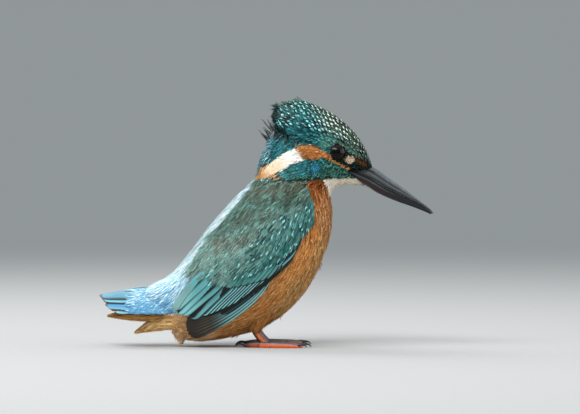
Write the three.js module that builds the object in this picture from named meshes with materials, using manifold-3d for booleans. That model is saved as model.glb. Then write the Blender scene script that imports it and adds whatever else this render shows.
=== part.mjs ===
// A common kingfisher (Alcedo atthis), life size, standing with closed wings and a half-raised crest.
// Millimetres, +Z up, +X towards the bill, +Y the bird's left. The origin is on the floor, midway
// between the bill's tip and the tail's tip. Every solid reaches to the tips of the plumage.
import * as THREE from "three";
import { mergeVertices } from "three/addons/utils/BufferGeometryUtils.js";
import Module from "manifold-3d";

const wasm = await Module();
wasm.setup();

// ---------------------------------------------------------------- driving dimensions

const GAP = 0.3; // clear space between neighbouring solids
const SLACK = 0.08; // how far a cut solid's faces may move to be fewer
const RING_POINTS = 24; // round each cross-section of the body
const RINGS_PER_STATION = 2;
const CLEARANCE = 1.25 * GAP; // growth of the copies that later solids are cut by

// The body from the tail's root to the bill's base. Each station is one flat cross-section: back and
// belly are its highest and lowest points in the middle plane as [x, z], width is its half width, and
// skew above 0 makes it wider towards the belly or throat.
const STATIONS = {
  tailRoot: { back: [-56, 27.3], belly: [-56, 19.5], width: 5.5, skew: 0 },
  uppertail: { back: [-45, 33.3], belly: [-45, 8.8], width: 10, skew: -0.1 },
  vent: { back: [-37.7, 40.9], belly: [-36.5, 3], width: 13.5, skew: -0.1 },
  rump: { back: [-27, 55.1], belly: [-20, 3.6], width: 18.5, skew: 0 },
  loin: { back: [-14, 69.9], belly: [1, 10], width: 22, skew: 0 },
  mantle: { back: [-7, 77], belly: [18, 25], width: 22.6, skew: 0 },
  shoulder: { back: [-4.6, 80.6], belly: [28.7, 46.8], width: 21, skew: 0 },
  neckBase: { back: [-4.2, 83.6], belly: [31, 61.3], width: 17.6, skew: 0.05 },
  hindneck: { back: [-2.6, 89], belly: [30.2, 70], width: 15.2, skew: 0.15 },
  notch: { back: [4.2, 100.6], belly: [32, 73.8], width: 14, skew: 0.25 },
  crestTip: { back: [2.4, 108], belly: [33.8, 74.7], width: 13.8, skew: 0.35 },
  crestTop: { back: [8.4, 113], belly: [36, 75], width: 13.4, skew: 0.35 },
  crown: { back: [16, 114.6], belly: [37.5, 75.2], width: 13, skew: 0.3 },
  forecrown: { back: [29, 109.6], belly: [40.5, 75], width: 11.2, skew: 0.25 },
  forehead: { back: [40, 101], belly: [43.5, 74.8], width: 8.8, skew: 0.2 },
  lore: { back: [46.2, 92.2], belly: [45.5, 74.6], width: 7.3, skew: 0.2 },
  billBase: { back: [49.6, 83.8], belly: [48, 74.3], width: 5.4, skew: 0.1 },
};
const STATION_LIST = Object.values(STATIONS);
const STATION_NAMES = Object.keys(STATIONS);

// The flesh is parted at these places, counted in stations.
const PARTED_AT = {
  rump: [0, STATION_NAMES.indexOf("vent") + 0.25],
  trunk: [STATION_NAMES.indexOf("vent") + 0.25, STATION_NAMES.indexOf("neckBase")],
  neck: [STATION_NAMES.indexOf("neckBase"), STATION_NAMES.indexOf("hindneck") + 0.35],
  head: [STATION_NAMES.indexOf("hindneck") + 0.35, STATION_LIST.length - 1],
};

// The closed wing on the bird's side, as its two long edges from shoulder to tip, in [x, z].
const WING = {
  top: [[-4.5, 73.5], [-20.5, 57.6], [-32.2, 42.6], [-39.6, 27], [-41, 17.5]],
  bottom: [[20, 66], [22.6, 58], [15, 43.5], [1, 28.8], [-15.8, 17.8], [-33, 12.8]],
  proud: 2, // its outer face above the body
  sunk: 0.9, // its inner face below the body's surface
  tipOut: 9.5, // how far from the middle plane the tip stays
  steps: [14, 7],
};
const PRIMARIES = {
  top: [[2, 34], [-12, 26], [-26, 19], [-36.8, 13]],
  bottom: [[5, 31.5], [-3.1, 23.5], [-19.8, 10.4], [-36, 3.4]],
  proud: 1,
  sunk: 0.6,
  tipOut: 8.6,
  steps: [10, 4],
};

const TAIL = {
  rootX: -50,
  tipX: -77.6,
  ridgeZ: [27.4, 26.4, 25.4, 23.6], // the middle feathers' upper face, root to tip
  halfWidth: [6.4, 10],
  drop: [4, 7.2], // how much lower its sides are than its ridge
  cornerShort: 3.6, // how much shorter the outer feathers are
  feathers: 12,
  notch: 0.5, // depth of the step between neighbouring feather tips
  thickness: 1,
  steps: [5, 24],
};

// Tapered feather bundles under the tail: [x, z] along the middle, then half depth and half width.
const UNDERTAIL = {
  long: {
    line: [[-48, 15.4], [-57, 15.3], [-66, 15.2], [-73.4, 14.9]],
    depth: [3.4, 2.9, 2, 0.5],
    width: [7.5, 7, 4.6, 1.2],
  },
  short: {
    line: [[-42, 10.4], [-49, 9.8], [-56, 8.6], [-61.8, 6.2]],
    depth: [5, 3.4, 2.3, 0.5],
    width: [7.5, 6, 3.8, 1],
  },
  vent: {
    line: [[-33, 9], [-35.6, 6], [-37.6, 3], [-39, 1]],
    depth: [3, 2.6, 1.5, 0.35],
    width: [4.6, 3.8, 2.2, 0.6],
  },
};

// Bill: lines in [x, z] from the corner of the mouth to the tip.
const BILL = {
  culmen: [[39.5, 84.6], [49.5, 83.6], [57.3, 78.4], [64.4, 73.4], [71.6, 68], [76.6, 64], [78.2, 61.9]],
  cut: [[39.4, 82.2], [48, 78.6], [56.5, 73.4], [62.3, 71], [68, 68.4], [73.4, 65.6], [77.6, 62.1]],
  keel: [[39.4, 79], [47.6, 74.2], [53, 71], [60.8, 67.7], [68, 65.2], [73.4, 63.1], [76.6, 61.7]],
  halfWidth: [6.6, 4.7, 3.7, 2.9, 2, 1.1, 0.35],
  ringPoints: 12,
  rings: 12,
};

const EYE = { at: [33.4, 90.4], radius: 4.3, seen: 6.5 }; // seen is the width of the part that shows

const LEG = {
  apart: 8.4, // from the middle plane to each leg
  thigh: { line: [[2.5, 18], [-1.8, 13.5], [-5, 8.8]], radius: [4.6, 4.2, 2.1], out: [0.6, 0.5, 0.1] },
  tarsus: { line: [[-6.6, 12], [-4.8, 7.8], [-1.7, 3.6], [-0.7, 1.9]], radius: [1.5, 1.35, 1.45, 1.8] },
};

// Toes as [x, sideways] from the foot's middle, sideways being away from the body. Heights follow
// from the radii, because every toe lies on the floor with a small flat.
const TOES = {
  middle: { line: [[-0.6, 0], [6, 0.4], [12, 0.7], [17, 0.8]], radius: [1.8, 1.65, 1.5, 1.15], claw: 4.1 },
  outer: { line: [[-0.4, 2.2], [5.5, 3.1], [11, 3.7], [15.2, 4.3]], radius: [1.6, 1.5, 1.35, 1], claw: 3.9 },
  inner: { line: [[-0.4, -2.2], [4.5, -3.3], [8.6, -4.6]], radius: [1.55, 1.35, 1.05], claw: 3.4 },
  hallux: { line: [[-2.6, -0.3], [-6.6, -0.8], [-10.4, -1.3]], radius: [1.75, 1.5, 1.15], claw: 4 },
};
const SOLE_FLAT = 0.3; // how much of each toe's underside is worn flat, as a share of its radius

const COLOURS = {
  plumageBlue: 0x2f8f93,
  plumageOrange: 0xb4702f,
  plumageCyan: 0x6db9d8,
  featherDark: 0x2b2a26,
  bill: 0x1b1c1f,
  eye: 0x0b0908,
  foot: 0xa8502a,
  claw: 0x141312,
};

// ---------------------------------------------------------------- shapes

// A smooth function of 0..1 through numbers or [x, z] pairs spaced evenly along it. Beyond its ends it
// runs on straight.
function through(values) {
  const pairs = values.map((v) => (Array.isArray(v) ? v : [v, 0]));
  const curve = new THREE.CatmullRomCurve3(
    pairs.map(([a, b]) => new THREE.Vector3(a, b, 0)),
    false,
    "centripetal",
  );
  return (t) => {
    const inside = THREE.MathUtils.clamp(t, 0, 1);
    const p = curve.getPoint(inside);
    if (t !== inside) p.addScaledVector(curve.getTangent(inside), (t - inside) * curve.getLength());
    return Array.isArray(values[0]) ? [p.x, p.y] : p.x;
  };
}

// A solid from a list of points and triangles, turned so that its faces point out.
function solidFrom(points, triangles) {
  const geometry = new THREE.BufferGeometry();
  const flat = points.flatMap((p) => [p.x, p.y, p.z]);
  geometry.setAttribute("position", new THREE.Float32BufferAttribute(flat, 3));
  geometry.setIndex(triangles.flat());
  const merged = mergeVertices(geometry, 1e-4);
  const build = (triVerts) =>
    new wasm.Manifold(
      new wasm.Mesh({ numProp: 3, vertProperties: merged.attributes.position.array, triVerts }),
    );
  const made = build(new Uint32Array(merged.index.array));
  return made.volume() > 0 ? made : build(new Uint32Array(merged.index.array).reverse());
}

// A closed solid through rings of equally many points, with flat ends.
function loft(rings) {
  const size = rings[0].length;
  const points = rings.flat();
  const triangles = [];
  for (let r = 0; r + 1 < rings.length; r++) {
    for (let i = 0; i < size; i++) {
      const [a, b] = [r * size + i, r * size + ((i + 1) % size)];
      triangles.push([a, b, a + size], [b, b + size, a + size]);
    }
  }
  for (const [first, turned] of [[0, true], [(rings.length - 1) * size, false]]) {
    const middle = new THREE.Vector3();
    for (let i = 0; i < size; i++) middle.addScaledVector(points[first + i], 1 / size);
    points.push(middle);
    for (let i = 0; i < size; i++) {
      const [a, b] = [first + i, first + ((i + 1) % size)];
      triangles.push(turned ? [b, a, points.length - 1] : [a, b, points.length - 1]);
    }
  }
  return solidFrom(points, triangles);
}

// A closed sheet between two grids of points, outer(u, v) and inner(u, v), with u and v from 0 to 1.
function sheet([across, down], outer, inner) {
  const points = [];
  for (const face of [outer, inner]) {
    for (let i = 0; i <= across; i++) {
      for (let j = 0; j <= down; j++) points.push(face(i / across, j / down));
    }
  }
  const at = (side, i, j) => side * (across + 1) * (down + 1) + i * (down + 1) + j;
  const triangles = [];
  const quad = (a, b, c, d) => triangles.push([a, b, c], [a, c, d]);
  for (let i = 0; i < across; i++) {
    for (let j = 0; j < down; j++) {
      quad(at(0, i, j), at(0, i + 1, j), at(0, i + 1, j + 1), at(0, i, j + 1));
      quad(at(1, i, j), at(1, i, j + 1), at(1, i + 1, j + 1), at(1, i + 1, j));
    }
    quad(at(0, i, 0), at(1, i, 0), at(1, i + 1, 0), at(0, i + 1, 0));
    quad(at(0, i, down), at(0, i + 1, down), at(1, i + 1, down), at(1, i, down));
  }
  for (let j = 0; j < down; j++) {
    quad(at(0, 0, j), at(0, 0, j + 1), at(1, 0, j + 1), at(1, 0, j));
    quad(at(0, across, j), at(1, across, j), at(1, across, j + 1), at(0, across, j + 1));
  }
  return solidFrom(points, triangles);
}

// A round, tapered solid along a 3D line, cut flat where it would pass below floorZ.
function limb(line, radiusAt, { rings = 8, sides = 10, floorZ = -Infinity, flatten = 1, grow = 0 } = {}) {
  const made = [];
  for (let r = 0; r <= rings; r++) {
    const t = r / rings;
    const centre = line(t);
    const ahead = line(Math.min(t + 0.01, 1)).sub(line(Math.max(t - 0.01, 0))).normalize();
    const side = new THREE.Vector3(0, 1, 0).cross(ahead).normalize();
    const across = ahead.clone().cross(side).normalize();
    if (t === 0) centre.addScaledVector(ahead, -grow);
    if (t === 1) centre.addScaledVector(ahead, grow);
    const ring = [];
    for (let i = 0; i < sides; i++) {
      const angle = (2 * Math.PI * (i + 0.5)) / sides;
      const p = centre
        .clone()
        .addScaledVector(side, Math.cos(angle) * (radiusAt(t) * flatten + grow))
        .addScaledVector(across, Math.sin(angle) * (radiusAt(t) + grow));
      p.z = Math.max(p.z, floorZ);
      ring.push(p);
    }
    made.push(ring);
  }
  return loft(made);
}

// ---------------------------------------------------------------- the body's surface

const backAt = through(STATION_LIST.map((s) => s.back));
const bellyAt = through(STATION_LIST.map((s) => s.belly));
const widthAt = through(STATION_LIST.map((s) => s.width));
const skewAt = through(STATION_LIST.map((s) => s.skew));
const LAST = STATION_LIST.length - 1;

// Half width of the cross-section at station t, at height c from -1 (belly) to 1 (back).
function halfWidth(t, c) {
  return widthAt(t / LAST) * Math.sqrt(Math.max(0, 1 - c * c)) * (1 - skewAt(t / LAST) * c);
}

function bodyRing(t) {
  const [back, belly] = [backAt(t / LAST), bellyAt(t / LAST)];
  const middle = [(back[0] + belly[0]) / 2, (back[1] + belly[1]) / 2];
  const half = [(back[0] - belly[0]) / 2, (back[1] - belly[1]) / 2];
  const ring = [];
  for (let i = 0; i < RING_POINTS; i++) {
    const angle = (2 * Math.PI * i) / RING_POINTS;
    const c = Math.cos(angle);
    const y = Math.sign(Math.sin(angle)) * halfWidth(t, c);
    ring.push(new THREE.Vector3(middle[0] + half[0] * c, y, middle[1] + half[1] * c));
  }
  return ring;
}

// The body between two places, less half a gap at each end that meets a neighbour.
function bodyPiece([from, to]) {
  const shave = (t, way) => {
    const [a, b] = [backAt(t / LAST), backAt((t + way * 0.1) / LAST)];
    const [c, d] = [bellyAt(t / LAST), bellyAt((t + way * 0.1) / LAST)];
    const least = Math.min(Math.hypot(a[0] - b[0], a[1] - b[1]), Math.hypot(c[0] - d[0], c[1] - d[1]));
    return t + (way * 0.1 * (GAP / 2)) / least;
  };
  const start = from > 0 ? shave(from, 1) : from;
  const end = to < LAST ? shave(to, -1) : to;
  const count = Math.max(3, Math.round((end - start) * RINGS_PER_STATION));
  const rings = [];
  for (let i = 0; i <= count; i++) rings.push(bodyRing(start + ((end - start) * i) / count));
  return loft(rings);
}

// Half width of the body at the point [x, z] of its side view.
const SCAN = Array.from({ length: 481 }, (_, i) => {
  const t = (i * LAST) / 480;
  const [back, belly] = [backAt(t / LAST), bellyAt(t / LAST)];
  return { t, belly, chord: [back[0] - belly[0], back[1] - belly[1]] };
});
function bodySide(x, z) {
  const off = ({ belly, chord }) =>
    (chord[0] * (z - belly[1]) - chord[1] * (x - belly[0])) / Math.hypot(...chord);
  for (let i = 0; i + 1 < SCAN.length; i++) {
    const [a, b] = [off(SCAN[i]), off(SCAN[i + 1])];
    if (a < 0 === b < 0) continue;
    const { belly, chord } = SCAN[i];
    const along = (chord[0] * (x - belly[0]) + chord[1] * (z - belly[1])) / (chord[0] ** 2 + chord[1] ** 2);
    if (along < -0.3 || along > 1.3) continue;
    const t = SCAN[i].t + ((SCAN[i + 1].t - SCAN[i].t) * a) / (a - b);
    return halfWidth(t, THREE.MathUtils.clamp(2 * along - 1, -0.96, 0.93));
  }
  return 0;
}

// ---------------------------------------------------------------- wings and tail

// One side's closed wing. side is -1 for the right and 1 for the left.
function wingPanel({ top, bottom, proud, sunk, tipOut, steps }, side, grow) {
  const [topAt, bottomAt] = [through(top), through(bottom)];
  const middle = (u, v) => {
    const [a, b] = [topAt(u), bottomAt(u)];
    const spread = 1 + (2.6 * grow) / Math.hypot(a[0] - b[0], a[1] - b[1]);
    const at = (v - 0.5) * spread + 0.5;
    const [x, z] = [a[0] + (b[0] - a[0]) * at, a[1] + (b[1] - a[1]) * at];
    const closeness = THREE.MathUtils.smoothstep(u, 0.45, 1);
    return new THREE.Vector3(x, Math.max(bodySide(x, z), tipOut * closeness), z);
  };
  const face = (offset) => (u, v) => {
    const stretched = (u - 0.5) * (1 + grow / 15) + 0.5;
    const [h, k] = [0.02, THREE.MathUtils.clamp(stretched, 0.02, 0.98)];
    const alongU = middle(k + h, v).sub(middle(k - h, v));
    const alongV = middle(k, v + h).sub(middle(k, v - h));
    const normal = alongV.cross(alongU).normalize();
    if (normal.y < 0) normal.negate();
    const p = middle(stretched, v).addScaledVector(normal, offset(u, v));
    p.y = Math.max(p.y, 0.5) * side;
    return p;
  };
  const bulge = (u, v) => Math.sqrt(Math.sin(Math.PI * THREE.MathUtils.clamp(v, 0.02, 0.98)));
  const outer = face((u, v) => 0.3 + (proud - 0.3) * bulge(u, v) + grow);
  const inner = face(() => -sunk - 2 * grow);
  return sheet(steps, outer, inner);
}

function tailFan(grow) {
  const { rootX, tipX, ridgeZ, drop, cornerShort, feathers, notch, thickness, steps } = TAIL;
  const ridge = through(ridgeZ);
  const mix = THREE.MathUtils.lerp;
  const face = (down) => (u, w) => {
    const v = 2 * w - 1;
    const tipStep = notch * Math.abs(Math.sin((Math.PI * feathers * w) / 2)) ** 4;
    const end = tipX + cornerShort * v * v - tipStep - grow;
    const x = mix(rootX + grow, end, u);
    const y = v * (mix(TAIL.halfWidth[0], TAIL.halfWidth[1], u) + grow);
    return new THREE.Vector3(x, y, ridge(u) - mix(drop[0], drop[1], u) * Math.abs(v) ** 1.6 - down);
  };
  return sheet(steps, face(-1.6 * grow), face(thickness + 1.6 * grow));
}

// A tapered bundle of feathers in the middle plane.
function bundle({ line, depth, width }, grow) {
  const [at, depthAt, widthAtBundle] = [through(line), through(depth), through(width)];
  const rings = [];
  for (let r = 0; r <= 7; r++) {
    const t = r / 7;
    const [x, z] = at(t);
    const ring = [];
    for (let i = 0; i < 14; i++) {
      const angle = (2 * Math.PI * i) / 14;
      ring.push(
        new THREE.Vector3(
          x + (t === 0 ? grow : 0) - (t === 1 ? grow : 0),
          Math.sin(angle) * (widthAtBundle(t) + grow),
          z + Math.cos(angle) * (depthAt(t) + grow),
        ),
      );
    }
    rings.push(ring);
  }
  return loft(rings);
}

// ---------------------------------------------------------------- bill and eyes

// One half of the bill. edge is its culmen or keel, and up is 1 for the upper half.
function billHalf(edge, up, grow, flare = 1) {
  const [cutAt, edgeAt, wideAt] = [through(BILL.cut), through(edge), through(BILL.halfWidth)];
  const rings = [];
  for (let r = 0; r <= BILL.rings; r++) {
    const t = r / BILL.rings;
    const [cut, rim, wide] = [cutAt(t), edgeAt(t), wideAt(t) * flare + grow];
    const long = Math.hypot(rim[0] - cut[0], rim[1] - cut[1]);
    const unit = [(rim[0] - cut[0]) / long, (rim[1] - cut[1]) / long];
    const ring = [];
    for (let i = 0; i < BILL.ringPoints; i++) {
      const angle = (Math.PI * i) / (BILL.ringPoints - 1);
      const rise = Math.max(0, Math.sin(angle)) ** 1.15 * (long + 2 * grow) + GAP / 2 - grow;
      const y = Math.cos(angle) * wide;
      ring.push(new THREE.Vector3(cut[0] + unit[0] * rise, y, cut[1] + unit[1] * rise));
    }
    if (r === 0) ring.forEach((p) => p.add(new THREE.Vector3(-grow, 0, grow * 0.5)));
    rings.push(up > 0 ? ring : ring.reverse());
  }
  return loft(rings);
}

function eyeball(side, grow) {
  const ball = new THREE.SphereGeometry(EYE.radius + grow, 14, 9);
  ball.deleteAttribute("normal");
  ball.deleteAttribute("uv");
  const [x, z] = EYE.at;
  const sunk = Math.sqrt(EYE.radius ** 2 - (EYE.seen / 2) ** 2);
  ball.translate(x, (bodySide(x, z) - sunk) * side, z);
  const merged = mergeVertices(ball, 1e-4);
  const { position } = merged.attributes;
  const points = [];
  for (let i = 0; i < position.count; i++) {
    points.push(new THREE.Vector3().fromBufferAttribute(position, i));
  }
  const triangles = [];
  for (let i = 0; i < merged.index.count; i += 3) triangles.push([...merged.index.array.slice(i, i + 3)]);
  return solidFrom(points, triangles.filter(([a, b, c]) => a !== b && b !== c && a !== c));
}

// ---------------------------------------------------------------- legs

function thigh(side, grow) {
  const { line, radius, out } = LEG.thigh;
  const [at, radiusAt, outAt] = [through(line), through(radius), through(out)];
  const path = (t) => new THREE.Vector3(at(t)[0], side * (LEG.apart + outAt(t)), at(t)[1]);
  return limb(path, radiusAt, { rings: 6, sides: 12, grow });
}

function tarsus(side, grow) {
  const { line, radius } = LEG.tarsus;
  const [at, radiusAt] = [through(line), through(radius)];
  const path = (t) => new THREE.Vector3(at(t)[0], side * LEG.apart, at(t)[1]);
  return limb(path, radiusAt, { rings: 7, sides: 12, floorZ: 0, grow });
}

function toePath({ line, radius }, side) {
  const [at, radiusAt] = [through(line), through(radius)];
  return (t) => new THREE.Vector3(at(t)[0], side * (LEG.apart + at(t)[1]), radiusAt(t) * (1 - SOLE_FLAT));
}

function toe(spec, side, grow) {
  return limb(toePath(spec, side), through(spec.radius), { rings: 5, sides: 12, floorZ: -grow, grow });
}

// A curved claw that starts in the toe's end, arches over and comes down to the floor.
function claw(spec, side) {
  const path = toePath(spec, side);
  const root = path(1);
  const ahead = path(1).sub(path(0.9)).setZ(0).normalize();
  const arch = (t) =>
    root
      .clone()
      .addScaledVector(ahead, -0.5 + t * (spec.claw + 0.5))
      .setZ(1.05 + 2 * t - 2.75 * t ** 3.2);
  const thick = (t) => THREE.MathUtils.lerp(0.9, 0.3, t ** 0.8);
  return limb(arch, thick, { rings: 5, sides: 7, floorZ: 0, flatten: 1.1 });
}

// ---------------------------------------------------------------- assembly

// The largest piece of a cut solid, without the slivers that a cut can leave. Small solids keep every
// face, so that the soles stay flat.
function largest(solid) {
  const kept = solid.decompose().reduce((a, b) => (a.volume() > b.volume() ? a : b));
  return kept.volume() > 100 ? kept.simplify(SLACK) : kept.simplify(1e-4);
}

const material = {
  blue: new THREE.MeshStandardMaterial({ color: COLOURS.plumageBlue, roughness: 0.6 }),
  orange: new THREE.MeshStandardMaterial({ color: COLOURS.plumageOrange, roughness: 0.8 }),
  cyan: new THREE.MeshStandardMaterial({ color: COLOURS.plumageCyan, roughness: 0.5 }),
  dark: new THREE.MeshStandardMaterial({ color: COLOURS.featherDark, roughness: 0.6 }),
  bill: new THREE.MeshStandardMaterial({ color: COLOURS.bill, roughness: 0.35 }),
  eye: new THREE.MeshStandardMaterial({ color: COLOURS.eye, roughness: 0.05 }),
  foot: new THREE.MeshStandardMaterial({ color: COLOURS.foot, roughness: 0.55 }),
  claw: new THREE.MeshStandardMaterial({ color: COLOURS.claw, roughness: 0.35 }),
};

// Earlier pieces keep their whole shape, and each later one is cut clear of those before it.
const cutters = [];
const kingfisher = new THREE.Group();
kingfisher.name = "kingfisher";
function add(name, finish, solid, grown) {
  const clear = cutters.reduce((left, cutter) => left.subtract(cutter), solid);
  const { numProp, numVert, vertProperties, triVerts } = largest(clear).getMesh();
  const position = new Float32Array(numVert * 3);
  for (let i = 0; i < numVert; i++) {
    position.set(vertProperties.subarray(i * numProp, i * numProp + 3), i * 3);
  }
  const geometry = new THREE.BufferGeometry();
  geometry.setAttribute("position", new THREE.BufferAttribute(position, 3));
  geometry.setIndex([...triVerts]);
  geometry.computeVertexNormals();
  const mesh = new THREE.Mesh(geometry, finish);
  mesh.name = name;
  kingfisher.add(mesh);
  if (grown) cutters.push(grown);
}

const SIDES = { right: -1, left: 1 };
for (const [label, side] of Object.entries(SIDES)) {
  add(`eye_${label}`, material.eye, eyeball(side, 0), eyeball(side, CLEARANCE));
}
add("bill_upper", material.bill, billHalf(BILL.culmen, 1, 0));
add("bill_lower", material.bill, billHalf(BILL.keel, -1, 0));
cutters.push(billHalf(BILL.culmen, 1, CLEARANCE, 1.25), billHalf(BILL.keel, -1, CLEARANCE, 1.25));

for (const [label, side] of Object.entries(SIDES)) {
  add(`tarsus_${label}`, material.foot, tarsus(side, 0), tarsus(side, CLEARANCE));
  for (const [which, spec] of Object.entries(TOES)) {
    add(`toe_${which}_${label}`, material.foot, toe(spec, side, 0), toe(spec, side, CLEARANCE));
  }
  for (const [which, spec] of Object.entries(TOES)) {
    add(`claw_${which}_${label}`, material.claw, claw(spec, side));
  }
  const panel = (spec, grow) => wingPanel(spec, side, grow);
  add(`wing_${label}`, material.blue, panel(WING, 0), panel(WING, CLEARANCE));
  add(`primaries_${label}`, material.dark, panel(PRIMARIES, 0), panel(PRIMARIES, CLEARANCE));
}
add("tail", material.cyan, tailFan(0), tailFan(CLEARANCE));
const BUNDLES = {
  undertail_coverts_long: UNDERTAIL.long,
  vent_tuft: UNDERTAIL.vent,
  undertail_coverts: UNDERTAIL.short,
};
for (const [name, spec] of Object.entries(BUNDLES)) {
  add(name, material.orange, bundle(spec, 0), bundle(spec, CLEARANCE));
}
for (const [label, side] of Object.entries(SIDES)) {
  add(`thigh_${label}`, material.orange, thigh(side, 0), thigh(side, CLEARANCE));
}
add("rump", material.cyan, bodyPiece(PARTED_AT.rump));
add("trunk", material.orange, bodyPiece(PARTED_AT.trunk));
add("neck", material.orange, bodyPiece(PARTED_AT.neck));
add("head", material.blue, bodyPiece(PARTED_AT.head));

// The origin goes to the floor under the middle of the whole.
const box = new THREE.Box3().setFromObject(kingfisher);
const middle = box.getCenter(new THREE.Vector3());
for (const { geometry } of kingfisher.children) geometry.translate(-middle.x, -middle.y, -box.min.z);

export default kingfisher;
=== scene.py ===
"""A common kingfisher, life size: skin, plumage, bill, eyes and feet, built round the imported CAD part.

Lengths in this script are millimetres in the part's frame (+X bill, +Y the bird's left, +Z up) and
become metres when a mesh is made. Every piece rides on the part's one body."""
import math
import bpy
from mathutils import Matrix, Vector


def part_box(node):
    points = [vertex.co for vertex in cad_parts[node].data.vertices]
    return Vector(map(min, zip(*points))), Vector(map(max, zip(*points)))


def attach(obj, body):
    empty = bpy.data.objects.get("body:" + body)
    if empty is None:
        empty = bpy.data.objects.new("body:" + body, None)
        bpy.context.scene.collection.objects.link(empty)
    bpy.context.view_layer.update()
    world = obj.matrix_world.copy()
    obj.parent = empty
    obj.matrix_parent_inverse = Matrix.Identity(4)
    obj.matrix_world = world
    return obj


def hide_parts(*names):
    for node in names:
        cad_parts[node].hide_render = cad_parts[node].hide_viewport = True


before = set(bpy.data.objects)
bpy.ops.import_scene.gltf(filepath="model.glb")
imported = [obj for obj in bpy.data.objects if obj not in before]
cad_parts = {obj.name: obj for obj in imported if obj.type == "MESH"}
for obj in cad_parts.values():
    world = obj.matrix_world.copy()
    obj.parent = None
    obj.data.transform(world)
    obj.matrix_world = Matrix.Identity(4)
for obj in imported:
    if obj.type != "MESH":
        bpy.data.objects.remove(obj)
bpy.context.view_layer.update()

from types import SimpleNamespace

import bpy
import numpy as np
from mathutils import Vector
from mathutils.kdtree import KDTree

MM = 0.001
PIECE_TRIANGLES = 180_000  # the most in one piece of a coat
UP = np.array([0.0, 0.0, 1.0])
LABELS = {-1: "right", 1: "left"}  # by the sign of y


# ------------------------------------------------------------------ small helpers

def rgb(code):
    """Linear colour of an sRGB hex code."""
    parts = np.array([int(code[i : i + 2], 16) / 255 for i in (0, 2, 4)])
    return np.where(parts <= 0.04045, parts / 12.92, ((parts + 0.055) / 1.055) ** 2.4)


def palette(**codes):
    return SimpleNamespace(**{name: rgb(code) for name, code in codes.items()})


def smooth(x, low, high):
    """0 at low, 1 at high and smooth between them."""
    t = np.clip((x - low) / (high - low), 0, 1)
    return t * t * (3 - 2 * t)


def mix(a, b, t):
    return a + (b - a) * t


def blend(a, b, t):
    """Mixes colours by an amount for each point."""
    return a + (b - a) * t[..., None]


def pick(where, a, b):
    """Colours a where a condition holds, and b elsewhere."""
    return np.where(where[..., None], a, b)


def bump_at(x, z, middle_x, middle_z, reach_x, reach_z):
    """A round spot: 1 in its middle, fading out over its reach."""
    return np.exp(-(((x - middle_x) / reach_x) ** 2) - ((z - middle_z) / reach_z) ** 2)


def stripes(across, gap, wobble):
    """Soft stripes from 0 to 1, a gap apart."""
    return 0.5 + 0.5 * np.sin(2 * math.pi * across / gap + wobble)


def unit(v):
    return v / np.maximum(np.linalg.norm(v, axis=-1, keepdims=True), 1e-9)


def spline(values):
    """A smooth function of 0..1 through rows of numbers spaced evenly along it."""
    rows = np.array(values, float).reshape(len(values), -1)
    rows = np.vstack([2 * rows[0] - rows[1], rows, 2 * rows[-1] - rows[-2]])

    def at(u):
        u = np.asarray(u, float)
        place = np.clip(u, 0, 1) * (len(rows) - 3)
        i = np.clip(place.astype(int), 0, len(rows) - 4)
        t = (place - i)[..., None]
        a, b, c, d = rows[i], rows[i + 1], rows[i + 2], rows[i + 3]
        square, cube = 2 * a - 5 * b + 4 * c - d, 3 * b - a - 3 * c + d
        return 0.5 * (2 * b + (c - a) * t + square * t**2 + cube * t**3)

    return at


def ripple(points, size, seed=0):
    """A smooth random value of about -1..1 that changes over distances of size."""
    rng = np.random.default_rng(seed)
    total = 0
    for k in range(4):
        way = unit(rng.normal(size=3)) * (2 * math.pi / size) * (1 + 0.6 * k)
        total = total + np.sin(points @ way + rng.uniform(0, 7)) / (1 + 0.35 * k)
    return total / 2.2


def inside(points, outline):
    """Whether [x, z] points are inside a closed outline."""
    x, z = points[..., 0], points[..., 1]
    hit = np.zeros(x.shape, bool)
    for (ax, az), (bx, bz) in zip(outline, outline[1:] + outline[:1]):
        if az == bz:
            continue
        crossing = ax + (bx - ax) * (z - az) / (bz - az)
        hit ^= ((az > z) != (bz > z)) & (x < crossing)
    return hit


# ------------------------------------------------------------------ the body's surface

# The CAD's cross-sections from the tail's root to the bill's base: the highest and lowest point in the
# middle plane as x, z, then the half width, then how much wider it is towards the belly.
STATIONS = {
    "tail_root": (-56, 27.3, -56, 19.5, 5.5, 0),
    "uppertail": (-45, 33.3, -45, 8.8, 10, -0.1),
    "vent": (-37.7, 40.9, -36.5, 3, 13.5, -0.1),
    "rump": (-27, 55.1, -20, 3.6, 18.5, 0),
    "loin": (-14, 69.9, 1, 10, 22, 0),
    "mantle": (-7, 77, 18, 25, 22.6, 0),
    "shoulder": (-4.6, 80.6, 28.7, 46.8, 21, 0),
    "neck_base": (-4.2, 83.6, 31, 61.3, 17.6, 0.05),
    "hindneck": (-2.6, 89, 30.2, 70, 15.2, 0.15),
    "notch": (4.2, 100.6, 32, 73.8, 14, 0.25),
    "crest_tip": (2.4, 108, 33.8, 74.7, 13.8, 0.35),
    "crest_top": (8.4, 113, 36, 75, 13.4, 0.35),
    "crown": (16, 114.6, 37.5, 75.2, 13, 0.3),
    "forecrown": (29, 109.6, 40.5, 75, 11.2, 0.25),
    "forehead": (40, 101, 43.5, 74.8, 8.8, 0.2),
    "lore": (46.2, 92.2, 45.5, 74.6, 7.3, 0.2),
    "bill_base": (49.6, 83.8, 48, 74.3, 5.4, 0.1),
}
STATION_NAMES = list(STATIONS)
stations = spline(list(STATIONS.values()))
EYE_BOX = np.array([list(corner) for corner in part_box("eye_right")]) / MM
EYE = np.abs(EYE_BOX.mean(0))
EYE_RADIUS = (EYE_BOX[1] - EYE_BOX[0]).max() / 2
SHIFT = np.array([EYE[0] - 33.4, 0, 0])  # from the stations' frame to the part's


def place(name, part=0.0):
    """Where a station is along the body, 0..1, plus part of the way to the next."""
    return (STATION_NAMES.index(name) + part) / (len(STATIONS) - 1)


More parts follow.
